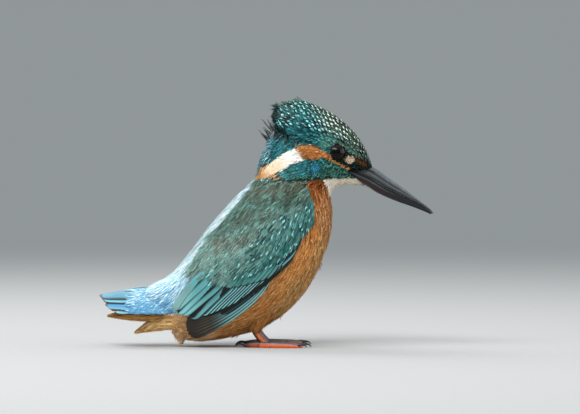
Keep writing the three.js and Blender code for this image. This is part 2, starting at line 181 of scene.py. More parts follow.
def body(u, angle):
    """A point of the plumage's outer surface. angle is 0 on the back, pi on the belly, + on the left."""
    row = stations(u)
    c, s = np.cos(angle), np.sin(angle)
    x = (row[..., 0] + row[..., 2]) / 2 + (row[..., 0] - row[..., 2]) / 2 * c
    z = (row[..., 1] + row[..., 3]) / 2 + (row[..., 1] - row[..., 3]) / 2 * c
    y = row[..., 4] * s * (1 - row[..., 5] * c)
    return np.stack([x, y, z], -1) + SHIFT


def body_frame(u, angle):
    """Point, outward normal, and change of the point per unit of u and of angle."""
    h = 1e-3
    u_in = np.clip(u, h, 1 - h)
    along = (body(u_in + h, angle) - body(u_in - h, angle)) / (2 * h)
    around = (body(u, angle + h) - body(u, angle - h)) / (2 * h)
    normal = unit(np.cross(along, around))
    return body(u, angle), normal, along, around


def side_view(point):
    """x and z in the stations' frame, and the distance from the middle plane."""
    return point[..., 0] - SHIFT[0], np.abs(point[..., 1]), point[..., 2]


BACKWARDS = np.array([-0.93, 0, -0.3])  # how the cheek's feathers lie
RAISED = np.array([-0.5, 0, 0.87])  # how the crown's lie
STREAM = ([-62, -55, -50, -46, -42, -38, -34], [8, 28, 40, 46, 54, 64, 58])  # degrees down, by x


def streaming(x):
    """How the long feathers of the rump and of the tail's base lie in the side view."""
    slope = np.radians(np.interp(x, *STREAM))
    return np.stack([-np.cos(slope), 0 * slope, -np.sin(slope)], -1)


def lie(point, along):
    """The way the feathers point: towards the tail, but straight back on the cheek, up and back on the
    raised crown, and steeply down the sides of the rump."""
    way = unit(-along)
    x, y, z = side_view(point)
    cheek = smooth(y, 3, 8) * smooth(x, -2, 10) * smooth(z, 74, 78) * (1 - smooth(z, 90, 97))
    crown = smooth(z, 96, 101) * smooth(x, 1, 7)
    rump = smooth(x, -24, -35) * smooth(z, 11, 16)
    way = mix(way, BACKWARDS, 0.85 * cheek[..., None])
    way = mix(way, RAISED, 0.7 * crown[..., None])
    return unit(mix(way, streaming(x), 0.85 * rump[..., None]))


def follow(u, angle, long, count, turn):
    """Walks along the lie of the feathers from a root. Gives points, normals and sideways directions,
    each with count steps. turn swings each feather to one side, in radians."""
    rows = []
    step = long / (count - 1)
    for _ in range(count):
        point, normal, along, around = body_frame(u, angle)
        way = lie(point, along)
        way = unit(way - normal * np.sum(way * normal, -1, keepdims=True))
        side = np.cross(normal, way)
        way = unit(way + side * np.tan(turn)[:, None])
        side = np.cross(normal, way)
        rows.append((point, normal, side))
        uu, vv = np.sum(along**2, -1), np.sum(around**2, -1)
        uv = np.sum(along * around, -1)
        a, b = np.sum(way * along, -1), np.sum(way * around, -1)
        det = np.maximum(uu * vv - uv**2, 1e-6)
        u = np.clip(u + step * (a * vv - b * uv) / det, 0.0, 1)
        angle = angle + np.clip(step * (b * uu - a * uv) / det, -0.3, 0.3)
    return [np.stack(part, 1) for part in zip(*rows)]


def half_width_map():
    """The body's half width as a function of [x, z] in the side view."""
    us, angles = np.meshgrid(np.linspace(0, 1, 900), np.linspace(0, math.pi, 260))
    points = body(us, angles).reshape(-1, 3)
    low, cell, shape = np.array([-62.0, -4.0]), 0.5, (240, 250)
    grid = np.zeros(shape)
    ij = ((points[:, [0, 2]] - low) / cell).astype(int)
    np.maximum.at(grid, (ij[:, 0], ij[:, 1]), points[:, 1])
    for _ in range(6):
        padded = np.pad(grid, 1)
        grid = sum(padded[i : i + shape[0], j : j + shape[1]] for i in range(3) for j in range(3)) / 9

    def at(x, z):
        fx = np.clip((np.asarray(x) - low[0]) / cell - 0.5, 0, shape[0] - 2)
        fz = np.clip((np.asarray(z) - low[1]) / cell - 0.5, 0, shape[1] - 2)
        i, j = fx.astype(int), fz.astype(int)
        a, b = fx - i, fz - j
        top = grid[i, j] * (1 - a) * (1 - b) + grid[i + 1, j] * a * (1 - b)
        return top + grid[i, j + 1] * (1 - a) * b + grid[i + 1, j + 1] * a * b

    return at


half_width = half_width_map()


# ------------------------------------------------------------------ markings

# Outlines of the head's patches in the side view, as x, z.
EAR_PATCH = [
    (12.4, 92.4), (15.5, 94.1), (20.5, 93.8), (24.6, 91.9), (28.4, 90.2), (31, 88), (32.8, 86.2),
    (31.4, 85.9), (28.6, 87.3), (26, 88), (22.5, 87.2), (19.5, 86.9), (16.8, 87.2), (15, 90),
]
EAR_SHADE = [(15.6, 88.9), (18.6, 88.9), (20.4, 87.4), (19.6, 86.2), (16.4, 86.2)]
WHITE_PATCH = [
    (12.3, 92.2), (14.2, 92), (15.8, 88.6), (16.9, 86.6), (13.1, 85.5), (10, 84.1), (7, 82.4), (4, 80.8),
    (0.5, 78.8), (-5.5, 76.8), (-4.6, 80.8), (0.2, 84), (4.3, 87.2), (7.9, 90),
]
LORAL_SPOT = [(35.6, 87.4), (37.6, 89), (40.4, 88.6), (41, 87), (39.2, 85.2), (37.6, 85.6)]
LORAL_STREAK = [(41.2, 88.6), (43, 88), (44.2, 86.5), (47, 86.2), (47, 84.4), (44, 84.5), (42.2, 86)]
LORE_DARK = [(30.5, 86.4), (33, 93), (38, 90.6), (42, 88.6), (50, 85), (50, 81), (40, 81), (36, 83.6)]
GAPE = [(38.2, 83.0), (42, 83.4), (46, 82.9), (51, 82.6), (51, 73.4), (46, 74.4), (40.8, 78.6), (38.4, 79.6)]
GAPE_LINE = ([30, 38.4], [87.0, 82.5], 0.42)  # x, z and half thickness

CROWN_EDGE = (
    [-8, 0, 5, 9, 12, 15.5, 20, 25, 30, 34, 38, 41, 49],
    [82.5, 84.6, 88, 90.8, 92.6, 94.6, 94.4, 93, 93.2, 94.8, 91.6, 88.8, 84.4],
)
MALAR_EDGE = ([-8, 1, 5, 17, 25, 32, 38, 46], [75.5, 76.6, 77, 77.2, 77.6, 78.3, 78.4, 76.6])
SHOULDER_EDGE = ([48, 54, 59, 69, 76, 79], [16, 18, 22.8, 22, 19.5, 17])  # x by height
FRONT_LINE = ([10, 20, 30, 40, 50, 60, 70], [-2, 9, 18, 24.5, 28, 29.5, 30])  # the belly's outline
THROAT_EDGE = ([68, 77], [31.2, 26.6])  # x by height
BREAST_EDGE = ([14, 19, 24, 29], [56, 55, 50, 45])  # the lowest height of the breast's feathers by x

COLOURS = palette(
    crown_olive="2c3022", crown_green="245044", crown_teal="0b4c4c", crown_dark="072622",
    crown_streak="1f7f88", brow="5d8a74", spot_white="effdf8", spot_cyan="a9f1f2", spot_blue="35a2ae",
    ear="a4602e", ear_pale="c48850", ear_brown="5c4426", white="f6f3ec", cream="e4caa0", buff="bc844a",
    malar="0e3630", malar_teal="2f7a70", malar_cyan="62c0c2", malar_blue="23707c", malar_green="549a88",
    malar_spot="3a9ed2", black="0b0c0a", loral_pale="bfa281", loral_dusk="75604c", loral_orange="62300e",
    gape_orange="d98b4c", throat="fff8e8", throat_dusk="e6d2a8", rust="a85416", rust_dark="763608",
    rust_pale="d8a878", belly="da883a", belly_deep="a05c20", belly_pale="ecb678", belly_dusk="6a421c",
    belly_beige="a08654", vent="d89c5e", vent_pale="f4cc96", shoulder="3c594f", shoulder_grey="565343",
    shoulder_dark="26372f", shoulder_teal="65978c", silver="f4fcfc", azure="aee2ec", blue="52a3cf",
    deep_blue="2a78ae", nape="0a3a3e",
)

# What the feathers of each tract are like. gap, long and wide are in mm; depth is how far the roots lie
# under the plumage's surface and proud how far the tips stand from it; messy is the spread of their
# directions in radians; strands is how many ribbons make one feather and thick how full each is; root
# is how dark the feather's base is painted, as painted shade under the feathers that overlap it, and
# contrast how much its strands differ; ragged is how much shorter some strands are. A spot starts at
# spot along the feather and is spot_half wide each way.
TRACTS = {
    "crown": dict(gap=0.9, long=3.0, wide=1.9, depth=0.7, proud=0.08, messy=0.08, strands=7, thick=0.85,
                  root=0.45, contrast=0.4, spot=0.52, spot_half=0.44),
    "crest": dict(gap=0.95, long=4.2, wide=1.9, depth=0.9, proud=0.35, messy=0.14, strands=7, thick=0.75,
                  root=0.4, contrast=0.36, spot=0.62, spot_half=0.42, ragged=0.28),
    "nape": dict(gap=1.0, long=4.8, wide=1.7, depth=1.6, proud=0.1, messy=0.24, strands=7, thick=0.5,
                 root=0.35, contrast=0.4, ragged=0.45),
    "face": dict(gap=0.5, long=1.5, wide=0.75, depth=0.3, proud=0.05, messy=0.1, strands=5, thick=0.9,
                 root=0.7, contrast=0.3),
    "ear": dict(gap=0.7, long=3.2, wide=0.9, depth=0.5, proud=0.12, messy=0.1, strands=5, thick=0.6,
                root=0.55, contrast=0.35, ragged=0.4),
    "malar": dict(gap=0.8, long=2.6, wide=1.2, depth=0.5, proud=0.12, messy=0.08, strands=5, thick=0.8,
                  root=0.25, contrast=0.4, spot=0.78, spot_half=0.6),
    "patch": dict(gap=0.8, long=4.2, wide=1.1, depth=0.7, proud=0.2, messy=0.05, strands=7, thick=0.9,
                  root=0.9, contrast=0.06, ragged=0.25),
    "throat": dict(gap=0.9, long=3.6, wide=1.3, depth=0.6, proud=0.1, messy=0.08, strands=7, thick=0.8,
                   root=1.0, contrast=0.1, ragged=0.3),
    "breast": dict(gap=1.0, long=4.6, wide=1.4, depth=0.8, proud=0.12, messy=0.12, strands=7, thick=0.65,
                   root=0.75, contrast=0.35, ragged=0.35),
    "belly": dict(gap=1.3, long=9.0, wide=2.3, depth=1.1, proud=0.2, messy=0.13, strands=11, thick=0.55,
                  root=0.85, contrast=0.26, ragged=0.5),
    "vent": dict(gap=1.4, long=8.5, wide=2.2, depth=1.2, proud=0.4, messy=0.2, strands=11, thick=0.55,
                 root=0.8, contrast=0.3, ragged=0.5),
    "shoulder": dict(gap=1.1, long=5.4, wide=1.9, depth=0.9, proud=0.12, messy=0.16, strands=9, thick=0.6,
                     root=0.7, contrast=0.35, ragged=0.4),
    "back": dict(gap=1.3, long=10.0, wide=1.9, depth=1.0, proud=0.3, messy=0.05, strands=7, thick=0.7,
                 root=0.8, contrast=0.2, ragged=0.3),
    "rump": dict(gap=1.4, long=14.0, wide=2.0, depth=1.1, proud=0.3, messy=0.04, strands=7, thick=0.7,
                 root=0.85, contrast=0.2, ragged=0.35),
}
TRACT_NAMES = list(TRACTS)
TRACT_INDEX = {name: i for i, name in enumerate(TRACT_NAMES)}


def tract(point, u, angle):
    """The index in TRACT_NAMES of the tract at a point."""
    x, y, z = side_view(point)
    xz = np.stack([x, z], -1)
    index, spread = TRACT_INDEX, np.abs(angle)
    out = np.full(x.shape, index["belly"])
    out[z > np.interp(x, *BREAST_EDGE)] = index["breast"]
    out[(u < place("rump", 0.1)) & (z < 15.5)] = index["vent"]
    trunk = u < place("neck_base", 0.2)
    behind = (x < np.interp(z, *SHOULDER_EDGE)) & (z > 15.5) & (spread < 2.0)
    out[(trunk | (z < 78)) & behind & (z > 24)] = index["shoulder"]
    stripe = mix(0.66, 0.27, smooth(u, place("rump"), place("shoulder")))
    out[trunk & (spread < stripe)] = index["back"]
    out[(z > 77) & (x < 1)] = index["nape"]
    out[(u < place("rump", 0.15)) & (z > 15.5)] = index["rump"]
    head = (u >= place("neck_base", 0.2)) & (z > 70)
    cheek = head & (z > np.interp(x, *MALAR_EDGE))
    out[cheek] = index["malar"]
    chin = (x > np.interp(z, *THROAT_EDGE)) | ((y < 7) & (x > 26))
    out[head & ~cheek & chin] = index["throat"]
    out[cheek & inside(xz, EAR_PATCH)] = index["ear"]
    crown = head & (z > np.interp(x, *CROWN_EDGE))
    out[crown] = index["crown"]
    out[crown & (u < place("crown", -0.4)) & (z > 96)] = index["crest"]
    out[crown & (z <= 97) & (x < 7.5)] = index["nape"]
    out[cheek & (x < 6) & (y < 5)] = index["nape"]
    out[(z > 74) & inside(xz, WHITE_PATCH) & (y > 4)] = index["patch"]
    ring = np.hypot(x - EYE[0] + SHIFT[0], z - EYE[2]) < EYE_RING
    out[head & (inside(xz, LORE_DARK) | ring) & (y > 1.5)] = index["face"]
    out[head & on_gape_line(x, z)] = index["face"]
    return out


class Marks:
    """What each feather's colours are: main, tip, the colour and share of its odd strands, and its spot."""

    def __init__(self, count):
        self.main, self.tip, self.alt, self.spot = (np.zeros((count, 3)) for _ in range(4))
        self.share, self.strength = np.zeros(count), np.zeros(count)

    @classmethod
    def plain(cls, count, *colours):
        """Marks that are all painted in one go, as by paint()."""
        marks = cls(count)
        marks.paint(slice(None), *colours)
        return marks

    def paint(self, where, main, tip=None, alt=None, share=0.0):
        for mine, given in ((self.main, main), (self.tip, tip), (self.alt, alt)):
            mine[where] = np.broadcast_to(main if given is None else given, mine.shape)[where]
        self.share[where] = np.broadcast_to(share, self.share.shape)[where]
        self.strength[where] = 0

    def dot(self, where, colour, strength):
        self.spot[where] = np.broadcast_to(colour, self.spot.shape)[where]
        self.strength[where] = np.broadcast_to(strength, self.strength.shape)[where]

    def only(self, where):
        part = Marks(0)
        for name, value in vars(self).items():
            setattr(part, name, value[where])
        return part

    def hairs(self, shape):
        """The same marks for each of the ribbons of a feather."""
        return self.only(np.repeat(np.arange(len(self.share)), shape))


# The sizes and seeds of the ripples that vary the colours.
COARSE, FINE = (14, 3), (4, 5)
BELLY_LIGHT = ([5, 20, 45, 60], [-14, 6, 20, 26])  # x by height of the line where the belly's painted shade ends and it brightens
BELLY_BEIGE = (13, 27, 5, 6)  # a spot's middle and reach, in x and z
CHEEK_BLOTCH = (22.4, 82.9, 1.9, 1.4)
CREST_HAIRS = 3.4  # x behind which the crest ends in dark hairs without spots


def markings(point, u, angle, rng):
    """The Marks of the feathers that show at each of a list of points."""
    x, _, z = side_view(point)
    kind = tract(point, u, angle)
    at = SimpleNamespace(
        x=x, z=z, xz=np.stack([x, z], -1), chance=rng.uniform(size=len(x)), second=rng.uniform(size=len(x)),
        coarse=ripple(point, *COARSE), fine=ripple(point, *FINE),
        **{name: kind == i for i, name in enumerate(TRACT_NAMES)},
    )
    marks = Marks(len(x))
    for paint in (paint_underparts, paint_upperparts, paint_cheek, paint_nape, paint_patches, paint_crown,
                  paint_face):
        paint(marks, at)
    return marks


def paint_underparts(marks, at):
    """Belly, breast and vent."""
    c, x, z = COLOURS, at.x, at.z
    # Painted shade: the belly darkens towards the bottom and behind BELLY_LIGHT; the ripples add random tone.
    front = smooth(x - np.interp(z, *BELLY_LIGHT), -14, 4)
    light = 0.1 + 0.9 * smooth(z, 2, 30) * front + 0.2 * at.coarse + 0.08 * at.fine
    warm = blend(c.belly_deep, c.belly, np.clip(light, 0, 1.1))
    warm = blend(warm, c.belly_beige, 0.6 * bump_at(x, z, *BELLY_BEIGE))
    # Painted shade along the belly's front outline, below the breast.
    front_shade = smooth(x - np.interp(z, *FRONT_LINE), -8, -1) * smooth(z, 60, 48)
    warm = blend(warm, mix(c.belly_beige, c.belly_dusk, 0.45), 0.75 * front_shade)
    odd = pick(at.second < 0.72, mix(warm, c.belly_pale, 0.75), mix(warm, c.belly_dusk, 0.6))
    marks.paint(at.belly, warm, mix(warm, c.belly_pale, 0.3), odd, 0.34)

    rust = blend(c.rust, c.rust_dark, smooth(z + 3 * at.coarse, 62, 76))
    rust = blend(rust, mix(c.rust, c.belly_beige, 0.4), smooth(z, 71, 61) * smooth(x, 20, 25))
    near_belly = smooth(z - np.interp(x, *BREAST_EDGE), 7, 0.5)
    rust = blend(rust, warm, near_belly)
    odd_share = mix(0.08, 0.34, smooth(x, 22, 27) * smooth(z, 74, 68))
    marks.paint(at.breast, rust, blend(rust, c.belly_pale, 0.1 + 0.2 * near_belly),
                blend(c.rust_pale, odd, near_belly), odd_share)
    marks.paint(at.vent, c.vent, mix(c.vent, c.vent_pale, 0.5), c.vent_pale, 0.3)


def paint_upperparts(marks, at):
    """Shoulders, back and rump."""
    c, x, z = COLOURS, at.x, at.z
    greyer = np.maximum(smooth(at.coarse + at.fine * 0.8, -0.6, 0.7), 0.85 * smooth(z, 67, 75))
    grey = blend(c.shoulder, c.shoulder_grey, greyer)
    odd = pick(at.chance < 0.5, c.shoulder_dark, c.shoulder_teal)
    marks.paint(at.shoulder, grey, blend(grey, c.shoulder_teal, 0.25 + 0.25 * at.second), odd, 0.35)
    fringe = at.shoulder & (x > np.interp(z, *SHOULDER_EDGE) - 3) & (z < 71)
    marks.paint(fringe, c.shoulder, c.shoulder_teal, c.shoulder_teal, 0.4)
    marks.paint(at.back | at.rump, *streaked_blue(z, at.chance))


def paint_cheek(marks, at):
    """Throat, and the green cheek: barred in front and below, streaked behind, with a blue blotch."""
    c, x, z = COLOURS, at.x, at.z
    marks.paint(at.throat, c.throat, mix(c.throat, c.white, 0.3), c.throat_dusk, 0.22)
    rear = smooth(x, 31, 22)
    above = z - np.interp(x, *MALAR_EDGE)
    barred = np.maximum(smooth(x, 24, 29) * smooth(above, 9, 7), smooth(above, 3.4, 2) * smooth(x, 9, 14))
    bars = stripes(x - 0.3 * z, 1.4, 0.8 * at.fine)
    streaks = stripes(z - 0.3 * x, 1.6, 1.4 * at.fine) ** 2 * rear * smooth(x, 20, 17) * (1 - barred)
    blotch = bump_at(x, z, *CHEEK_BLOTCH)
    green = blend(c.malar, c.nape, 0.8 * rear)
    green = blend(green, blend(c.malar * 0.35, c.malar_green, bars**1.3), 0.95 * barred)
    green = blend(green, mix(c.malar_blue, c.malar_cyan, 0.5), 0.9 * streaks)
    green = blend(green, c.malar_spot, 0.85 * blotch)
    marks.paint(at.malar, green, blend(green, c.malar_teal, 0.3 * (1 - barred)),
                blend(c.malar_teal, c.malar_blue, rear), 0.2 * (1 - barred))

    shine = blend(c.malar_blue, c.malar_cyan, smooth(at.fine + 0.5 * at.coarse, -0.5, 0.8))
    shine = blend(blend(c.malar_green, shine, rear), c.malar_spot, 0.7 * blotch)
    dotted = (1 - 0.8 * barred) * (1 - 0.6 * smooth(x, 19, 15))
    marks.dot(at.malar, shine, mix(0.4, 1.0, at.chance) * (at.second < 0.75) * dotted)

    lines = stripes(0.5 * x - 0.86 * z, 1.5, 1.6 * at.fine)
    lined = blend(blend(c.buff, c.cream, at.second), c.black, smooth(lines, 0.3, 0.6))
    lined = blend(lined, c.shoulder_dark, smooth(x, 2, 9))
    marks.paint(at.malar & (x + 1.2 * (z - 77) < 10), lined, lined)
    # Painted shadow: a black line along the cheek's lower edge, over the shoulder.
    malar_shadow_line = at.malar & (z < np.interp(x, *MALAR_EDGE) + mix(0.6, 1.3, at.chance)) & (x < 32)
    marks.paint(malar_shadow_line, c.black, c.malar, c.malar, 0.3)


def paint_nape(marks, at):
    """Dark teal, streaked with azure behind and ending in dark tips under the crest."""
    c = COLOURS
    marks.paint(at.nape, c.nape, mix(c.nape, c.crown_streak, 0.3), c.crown_streak, 0.3)
    streaked = at.nape & (at.x < 1 + 2 * at.chance) & (at.z < 97)
    marks.paint(streaked, c.nape, mix(c.nape, c.crown_streak, 0.4), c.azure, 0.24)
    marks.paint(at.nape & (at.z > 96), c.crown_dark, c.black, c.crown_streak, 0.15)


def paint_patches(marks, at):
    """The orange ear patch, and the white one behind it, which turns buff towards the back."""
    c, x, z = COLOURS, at.x, at.z
    ear = blend(c.ear, c.ear_brown, smooth(at.fine, 0.2, 1.4) * 0.5)
    marks.paint(at.ear, ear, mix(ear, c.ear_pale, 0.2), c.ear_pale, 0.25)
    marks.paint(at.ear & inside(at.xz, EAR_SHADE), c.ear_brown, c.ear, c.ear, 0.3)
    snow = blend(c.white, c.cream, smooth(x + z, 99, 87) * 0.75)
    snow = blend(snow, c.buff, smooth(x + 0.9 * (z - 80), 7, -4))
    marks.paint(at.patch, snow, snow, mix(snow, c.cream, 0.3), 0.2)


def paint_crown(marks, at):
    """Crown and crest: teal behind and olive in front, with a pale brow and rows of spots."""
    c, x, z = COLOURS, at.x, at.z
    crown = at.crown | at.crest
    fore = smooth(x + 0.5 * (z - 100), 22, 34)
    over_eye = spotted_height(x, z)
    base = blend(c.crown_teal, c.crown_dark, smooth(at.fine + at.coarse, -0.7, 0.9))
    base = blend(base, blend(c.crown_green, c.crown_olive, smooth(over_eye, 0, 6)), fore)
    base = blend(base, c.brow, 0.75 * (smooth(over_eye, 4, 0) * smooth(x, 20, 27)))
    streak = blend(c.crown_streak, c.brow, np.maximum(fore, 0.6 * smooth(z, 104, 112)))
    marks.paint(crown, base, base, streak, 0.24)
    hairy = crown & (x < CREST_HAIRS + 2 * at.chance) & (z > 98)
    marks.paint(hairy, c.crown_dark, c.black, c.crown_green, 0.25)

    bright = smooth(over_eye + 2 * at.coarse, 0, 8)
    rearward = blend(c.spot_cyan, c.spot_blue, 0.3 * at.second)
    spot = blend(c.spot_blue, blend(rearward, c.spot_white, 0.1 + 0.9 * fore), bright)
    faint = mix(0.55, 1.0, bright) * mix(mix(0.45, 0.85, fore), 1.0, at.chance)
    faint = faint * smooth(z - np.interp(x, *CROWN_EDGE), 0.8, 3.0)
    marks.dot(crown & (x > CREST_HAIRS), spot, faint * (at.second < mix(0.9, 0.98, fore)))


def on_gape_line(x, z, rear=0.0):
    """Whether points are on the orange line under the eye, which starts rear mm further back."""
    line_x, line_z, thick = GAPE_LINE
    return (np.abs(z - np.interp(x, line_x, line_z)) < thick) & (x > line_x[0] - rear) & (x < line_x[1])


def paint_face(marks, at):
    """The black lores and ring round the eye, with a pale spot and an orange streak before it."""
    c, x, z = COLOURS, at.x, at.z
    marks.paint(at.face, c.black, c.black, c.crown_green, 0.15)
    pale = blend(c.loral_pale, c.white, 0.4 * smooth(x, 37, 39))
    marks.paint(at.face & inside(at.xz, LORAL_SPOT), c.loral_pale, pale, c.loral_dusk, 0.25)
    streak = at.face & inside(at.xz, LORAL_STREAK)
    marks.paint(streak, c.loral_orange, mix(c.loral_orange, c.gape_orange, 0.15), c.black, 0.5)
    marks.paint(on_gape_line(x, z, rear=1), c.gape_orange, c.gape_orange, c.ear, 0.4)


BACK_SHADE = 0.74  # how much darker the back's feathers are than the rump's


def streaked_blue(z, chance):
    """What Marks.paint takes for the back and rump by height: pale and streaked with silver above, deep
    blue below."""
    c = COLOURS
    low, high = smooth(z, 16, 22), smooth(z, 21, 38)
    azure = blend(c.deep_blue, blend(c.blue, c.azure, 0.2 + 0.8 * high), 0.35 + 0.65 * low)
    azure = pick(chance < 0.4, blend(azure, c.deep_blue, 0.6 - 0.4 * high), azure)
    silver = blend(c.azure, c.silver, (0.45 + 0.55 * high) * low)
    shade = mix(1.0, BACK_SHADE, smooth(z, 28, 44))[:, None]
    azure, silver = azure * shade, silver * shade
    return azure, mix(azure, silver, 0.15), silver, mix(mix(0.05, 0.3, low), 0.42, high)


def spotted_height(x, z):
    """How far a point is above the line from the bill's base past the eye's top to the crest."""
    return z - np.interp(x, [0, 10, 20, 30, 40, 48], [97, 98, 97.5, 95.5, 89, 82])


# ------------------------------------------------------------------ meshes

class Coat:
    """Collects strips of feather and turns them into meshes of a limited size."""

    def __init__(self, name, material, slot, replaces=(), toward=None):
        """toward is what facing() takes, for strips whose front may point inwards otherwise."""
        self.name, self.material, self.slot = name, MATERIALS[material], slot
        self.replaced, self.toward = replaces, toward
        self.points, self.tints, self.vanes, self.patches = [], [], [], []

    def add(self, points, tints, vanes, patches):
        """Everything is (strips, along, across, 3), apart from patches, which ends in 2."""
        full = points.shape[:-1]
        self.points.append(points)
        self.tints.append(np.broadcast_to(tints, full + (3,)))
        self.vanes.append(np.broadcast_to(vanes, full + (3,)))
        self.patches.append(np.broadcast_to(patches, full + (2,)))

    def build(self):
        blocks, triangles, number = [], 0, 1
        for parts in zip(self.points, self.tints, self.vanes, self.patches):
            per_strip = 2 * (parts[0].shape[1] - 1) * (parts[0].shape[2] - 1)
            start = 0
            while start < len(parts[0]):
                stop = start + max(1, (PIECE_TRIANGLES - triangles) // per_strip)
                blocks.append([part[start:stop] for part in parts])
                triangles += len(blocks[-1][0]) * per_strip
                start = stop
                if triangles + per_strip > PIECE_TRIANGLES:
                    self.mesh(blocks, number)
                    blocks, triangles, number = [], 0, number + 1
        if blocks:
            self.mesh(blocks, number)

    def mesh(self, blocks, number):
        corners, offset = [], 0
        for points, *_ in blocks:
            index = np.arange(points[..., 0].size).reshape(points.shape[:3]) + offset
            if self.toward:
                back = ~facing(points, *self.toward)
                index[back] = index[back][:, :, ::-1]
            quads = [index[:, :-1, :-1], index[:, 1:, :-1], index[:, 1:, 1:], index[:, :-1, 1:]]
            corners.append(np.stack(quads, -1).reshape(-1, 4))
            offset += index.size
        points, tints, vanes, patches = (
            np.concatenate([values.reshape(-1, values.shape[-1]) for values in column])
            for column in zip(*blocks)
        )
        obj = mesh_object(f"{self.name}_{number}", points, np.concatenate(corners), self.material)
        attribute(obj, "tint", tints)
        attribute(obj, "vane", vanes)
        uv_map(obj, "OFBake", patches)
        if number == 1 and self.replaced:
            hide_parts(*self.replaced)


def facing(points, out, up):
    """Which strips face the right way: out times away from the body's middle plane plus up times upwards."""
    wanted = np.sign(points.mean((1, 2)) * [0, 1, 0]) * out + [0, 0, up]
    corner = points[:, :-1, :-1]
    normal = np.cross(points[:, 1:, :-1] - corner, points[:, :-1, 1:] - corner).sum((1, 2))
    return (normal * wanted).sum(-1) >= 0


def add_object(name, data):
    obj = bpy.data.objects.new(name, data)
    bpy.context.scene.collection.objects.link(obj)
    return obj


def mesh_object(name, points, faces, material):
    """A smooth mesh from points in mm and equal-sided faces, riding on the part's body."""
    mesh = bpy.data.meshes.new(name)
    faces = np.asarray(faces, np.int32)
    sides = faces.shape[1]
    mesh.vertices.add(len(points))
    mesh.vertices.foreach_set("co", (np.asarray(points) * MM).astype(np.float32).ravel())
    mesh.loops.add(faces.size)
    mesh.loops.foreach_set("vertex_index", faces.ravel())
    mesh.polygons.add(len(faces))
    mesh.polygons.foreach_set("loop_start", np.arange(0, faces.size, sides, dtype=np.int32))
    mesh.polygons.foreach_set("use_smooth", np.ones(len(faces), bool))
    mesh.update(calc_edges=True)
    mesh.materials.append(material)
    obj = add_object(name, mesh)
    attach(obj, "root")
    return obj


def attribute(obj, name, values):
    layer = obj.data.attributes.new(name, "FLOAT_VECTOR", "POINT")
    layer.data.foreach_set("vector", np.asarray(values, np.float32).ravel())


def uv_map(obj, name, values):
    layer = obj.data.uv_layers.new(name=name)
    loops = np.empty(len(obj.data.loops), np.int32)
    obj.data.loops.foreach_get("vertex_index", loops)
    layer.data.foreach_set("uv", np.asarray(values, np.float32)[loops].ravel())


def grid_faces(rows, columns):
    """Quads of rows of points, each row a closed ring."""
    index = np.arange(rows * columns).reshape(rows, columns)
    index = np.concatenate([index, index[:, :1]], 1)
    quads = [index[:-1, :-1], index[:-1, 1:], index[1:, 1:], index[1:, :-1]]
    return np.stack(quads, -1).reshape(-1, 4)


def capped_faces(rows, columns):
    """Triangles of rings of points, closed by one more point at the first ring and one at the last."""
    quads = grid_faces(rows, columns)
    triangles = [quads[:, [2, 1, 0]], quads[:, [3, 2, 0]]]
    for last in (0, 1):
        rim = np.arange(columns) + last * (rows - 1) * columns
        corners = [rim, np.roll(rim, -1), np.full(columns, rows * columns + last)]
        triangles.append(np.stack(corners if not last else [corners[1], corners[0], corners[2]], -1))
    return np.concatenate(triangles)


# ------------------------------------------------------------------ materials

class Nodes:
    """The node tree of a material or world, which grows by a node a call."""

    def __init__(self, owner):
        owner.use_nodes = True
        self.tree = owner.node_tree

    def __getitem__(self, name):
        return self.tree.nodes[name]

    def feed(self, node, inputs):
        """Sets a node's sockets, by name or number, to values or to the outputs that feed them."""
        for socket, value in inputs.items():
            if isinstance(value, bpy.types.NodeSocket):
                self.tree.links.new(value, node.inputs[socket])
            else:
                node.inputs[socket].default_value = value

    def add(self, kind, inputs=None, **settings):
        node = self.tree.nodes.new("ShaderNode" + kind)
        for name, value in settings.items():
            setattr(node, name, value)
        self.feed(node, inputs or {})
        return node

    def ranged(self, value, low, high, start=0.3, stop=0.7):
        """An output that runs from low to high as a value, such as noise, goes from start to stop."""
        span = {"Value": value, "From Min": start, "From Max": stop, "To Min": low, "To Max": high}
        return self.add("MapRange", span).outputs["Result"]


def bare_material(name, roughness, specular, coat=0.0):
    material = bpy.data.materials.new(name)
    nodes = Nodes(material)
    shader = nodes["Principled BSDF"]
    nodes.feed(shader, {"Roughness": roughness, "Specular IOR Level": specular})
    nodes.feed(shader, {"Coat Weight": coat, "Coat Roughness": 0.06})
    return material, nodes, shader


def painted_material(name, roughness, specular, stretch, shade, bump, feather=True, coat=0.0):
    """Painted by the tint attribute, and shaded and raised by noise drawn out along stretch: shade is how
    much it changes the colour and bump how high it stands, in mm. On a feather the noise lies along its
    barbs, by the vane attribute: mm along, mm across, and a chance. Elsewhere it lies in the object's own
    space, in mm."""
    material, nodes, shader = bare_material(name, roughness, specular, coat)
    tint = nodes.add("Attribute", attribute_name="tint").outputs["Vector"]
    if feather:
        space = nodes.add("Attribute", attribute_name="vane").outputs["Vector"]
    else:
        space = nodes.add("TexCoord").outputs["Object"]
        stretch = [v / MM for v in stretch]
    drawn = nodes.add("VectorMath", {0: space, 1: stretch}, operation="MULTIPLY").outputs[0]
    noise = nodes.add("TexNoise", {"Vector": drawn, "Scale": 1.0, "Detail": 4.0}).outputs["Fac"]
    shading = nodes.ranged(noise, 1 - shade, 1 + shade)
    colour = nodes.add("VectorMath", {0: tint, "Scale": shading}, operation="SCALE").outputs[0]
    worn = nodes.ranged(noise, roughness * 0.85, min(1.0, roughness * 1.25))
    relief = nodes.add("Bump", {"Strength": 0.4, "Distance": bump * MM, "Height": noise}).outputs["Normal"]
    nodes.feed(shader, {"Base Color": colour, "Roughness": worn, "Normal": relief})
    return material


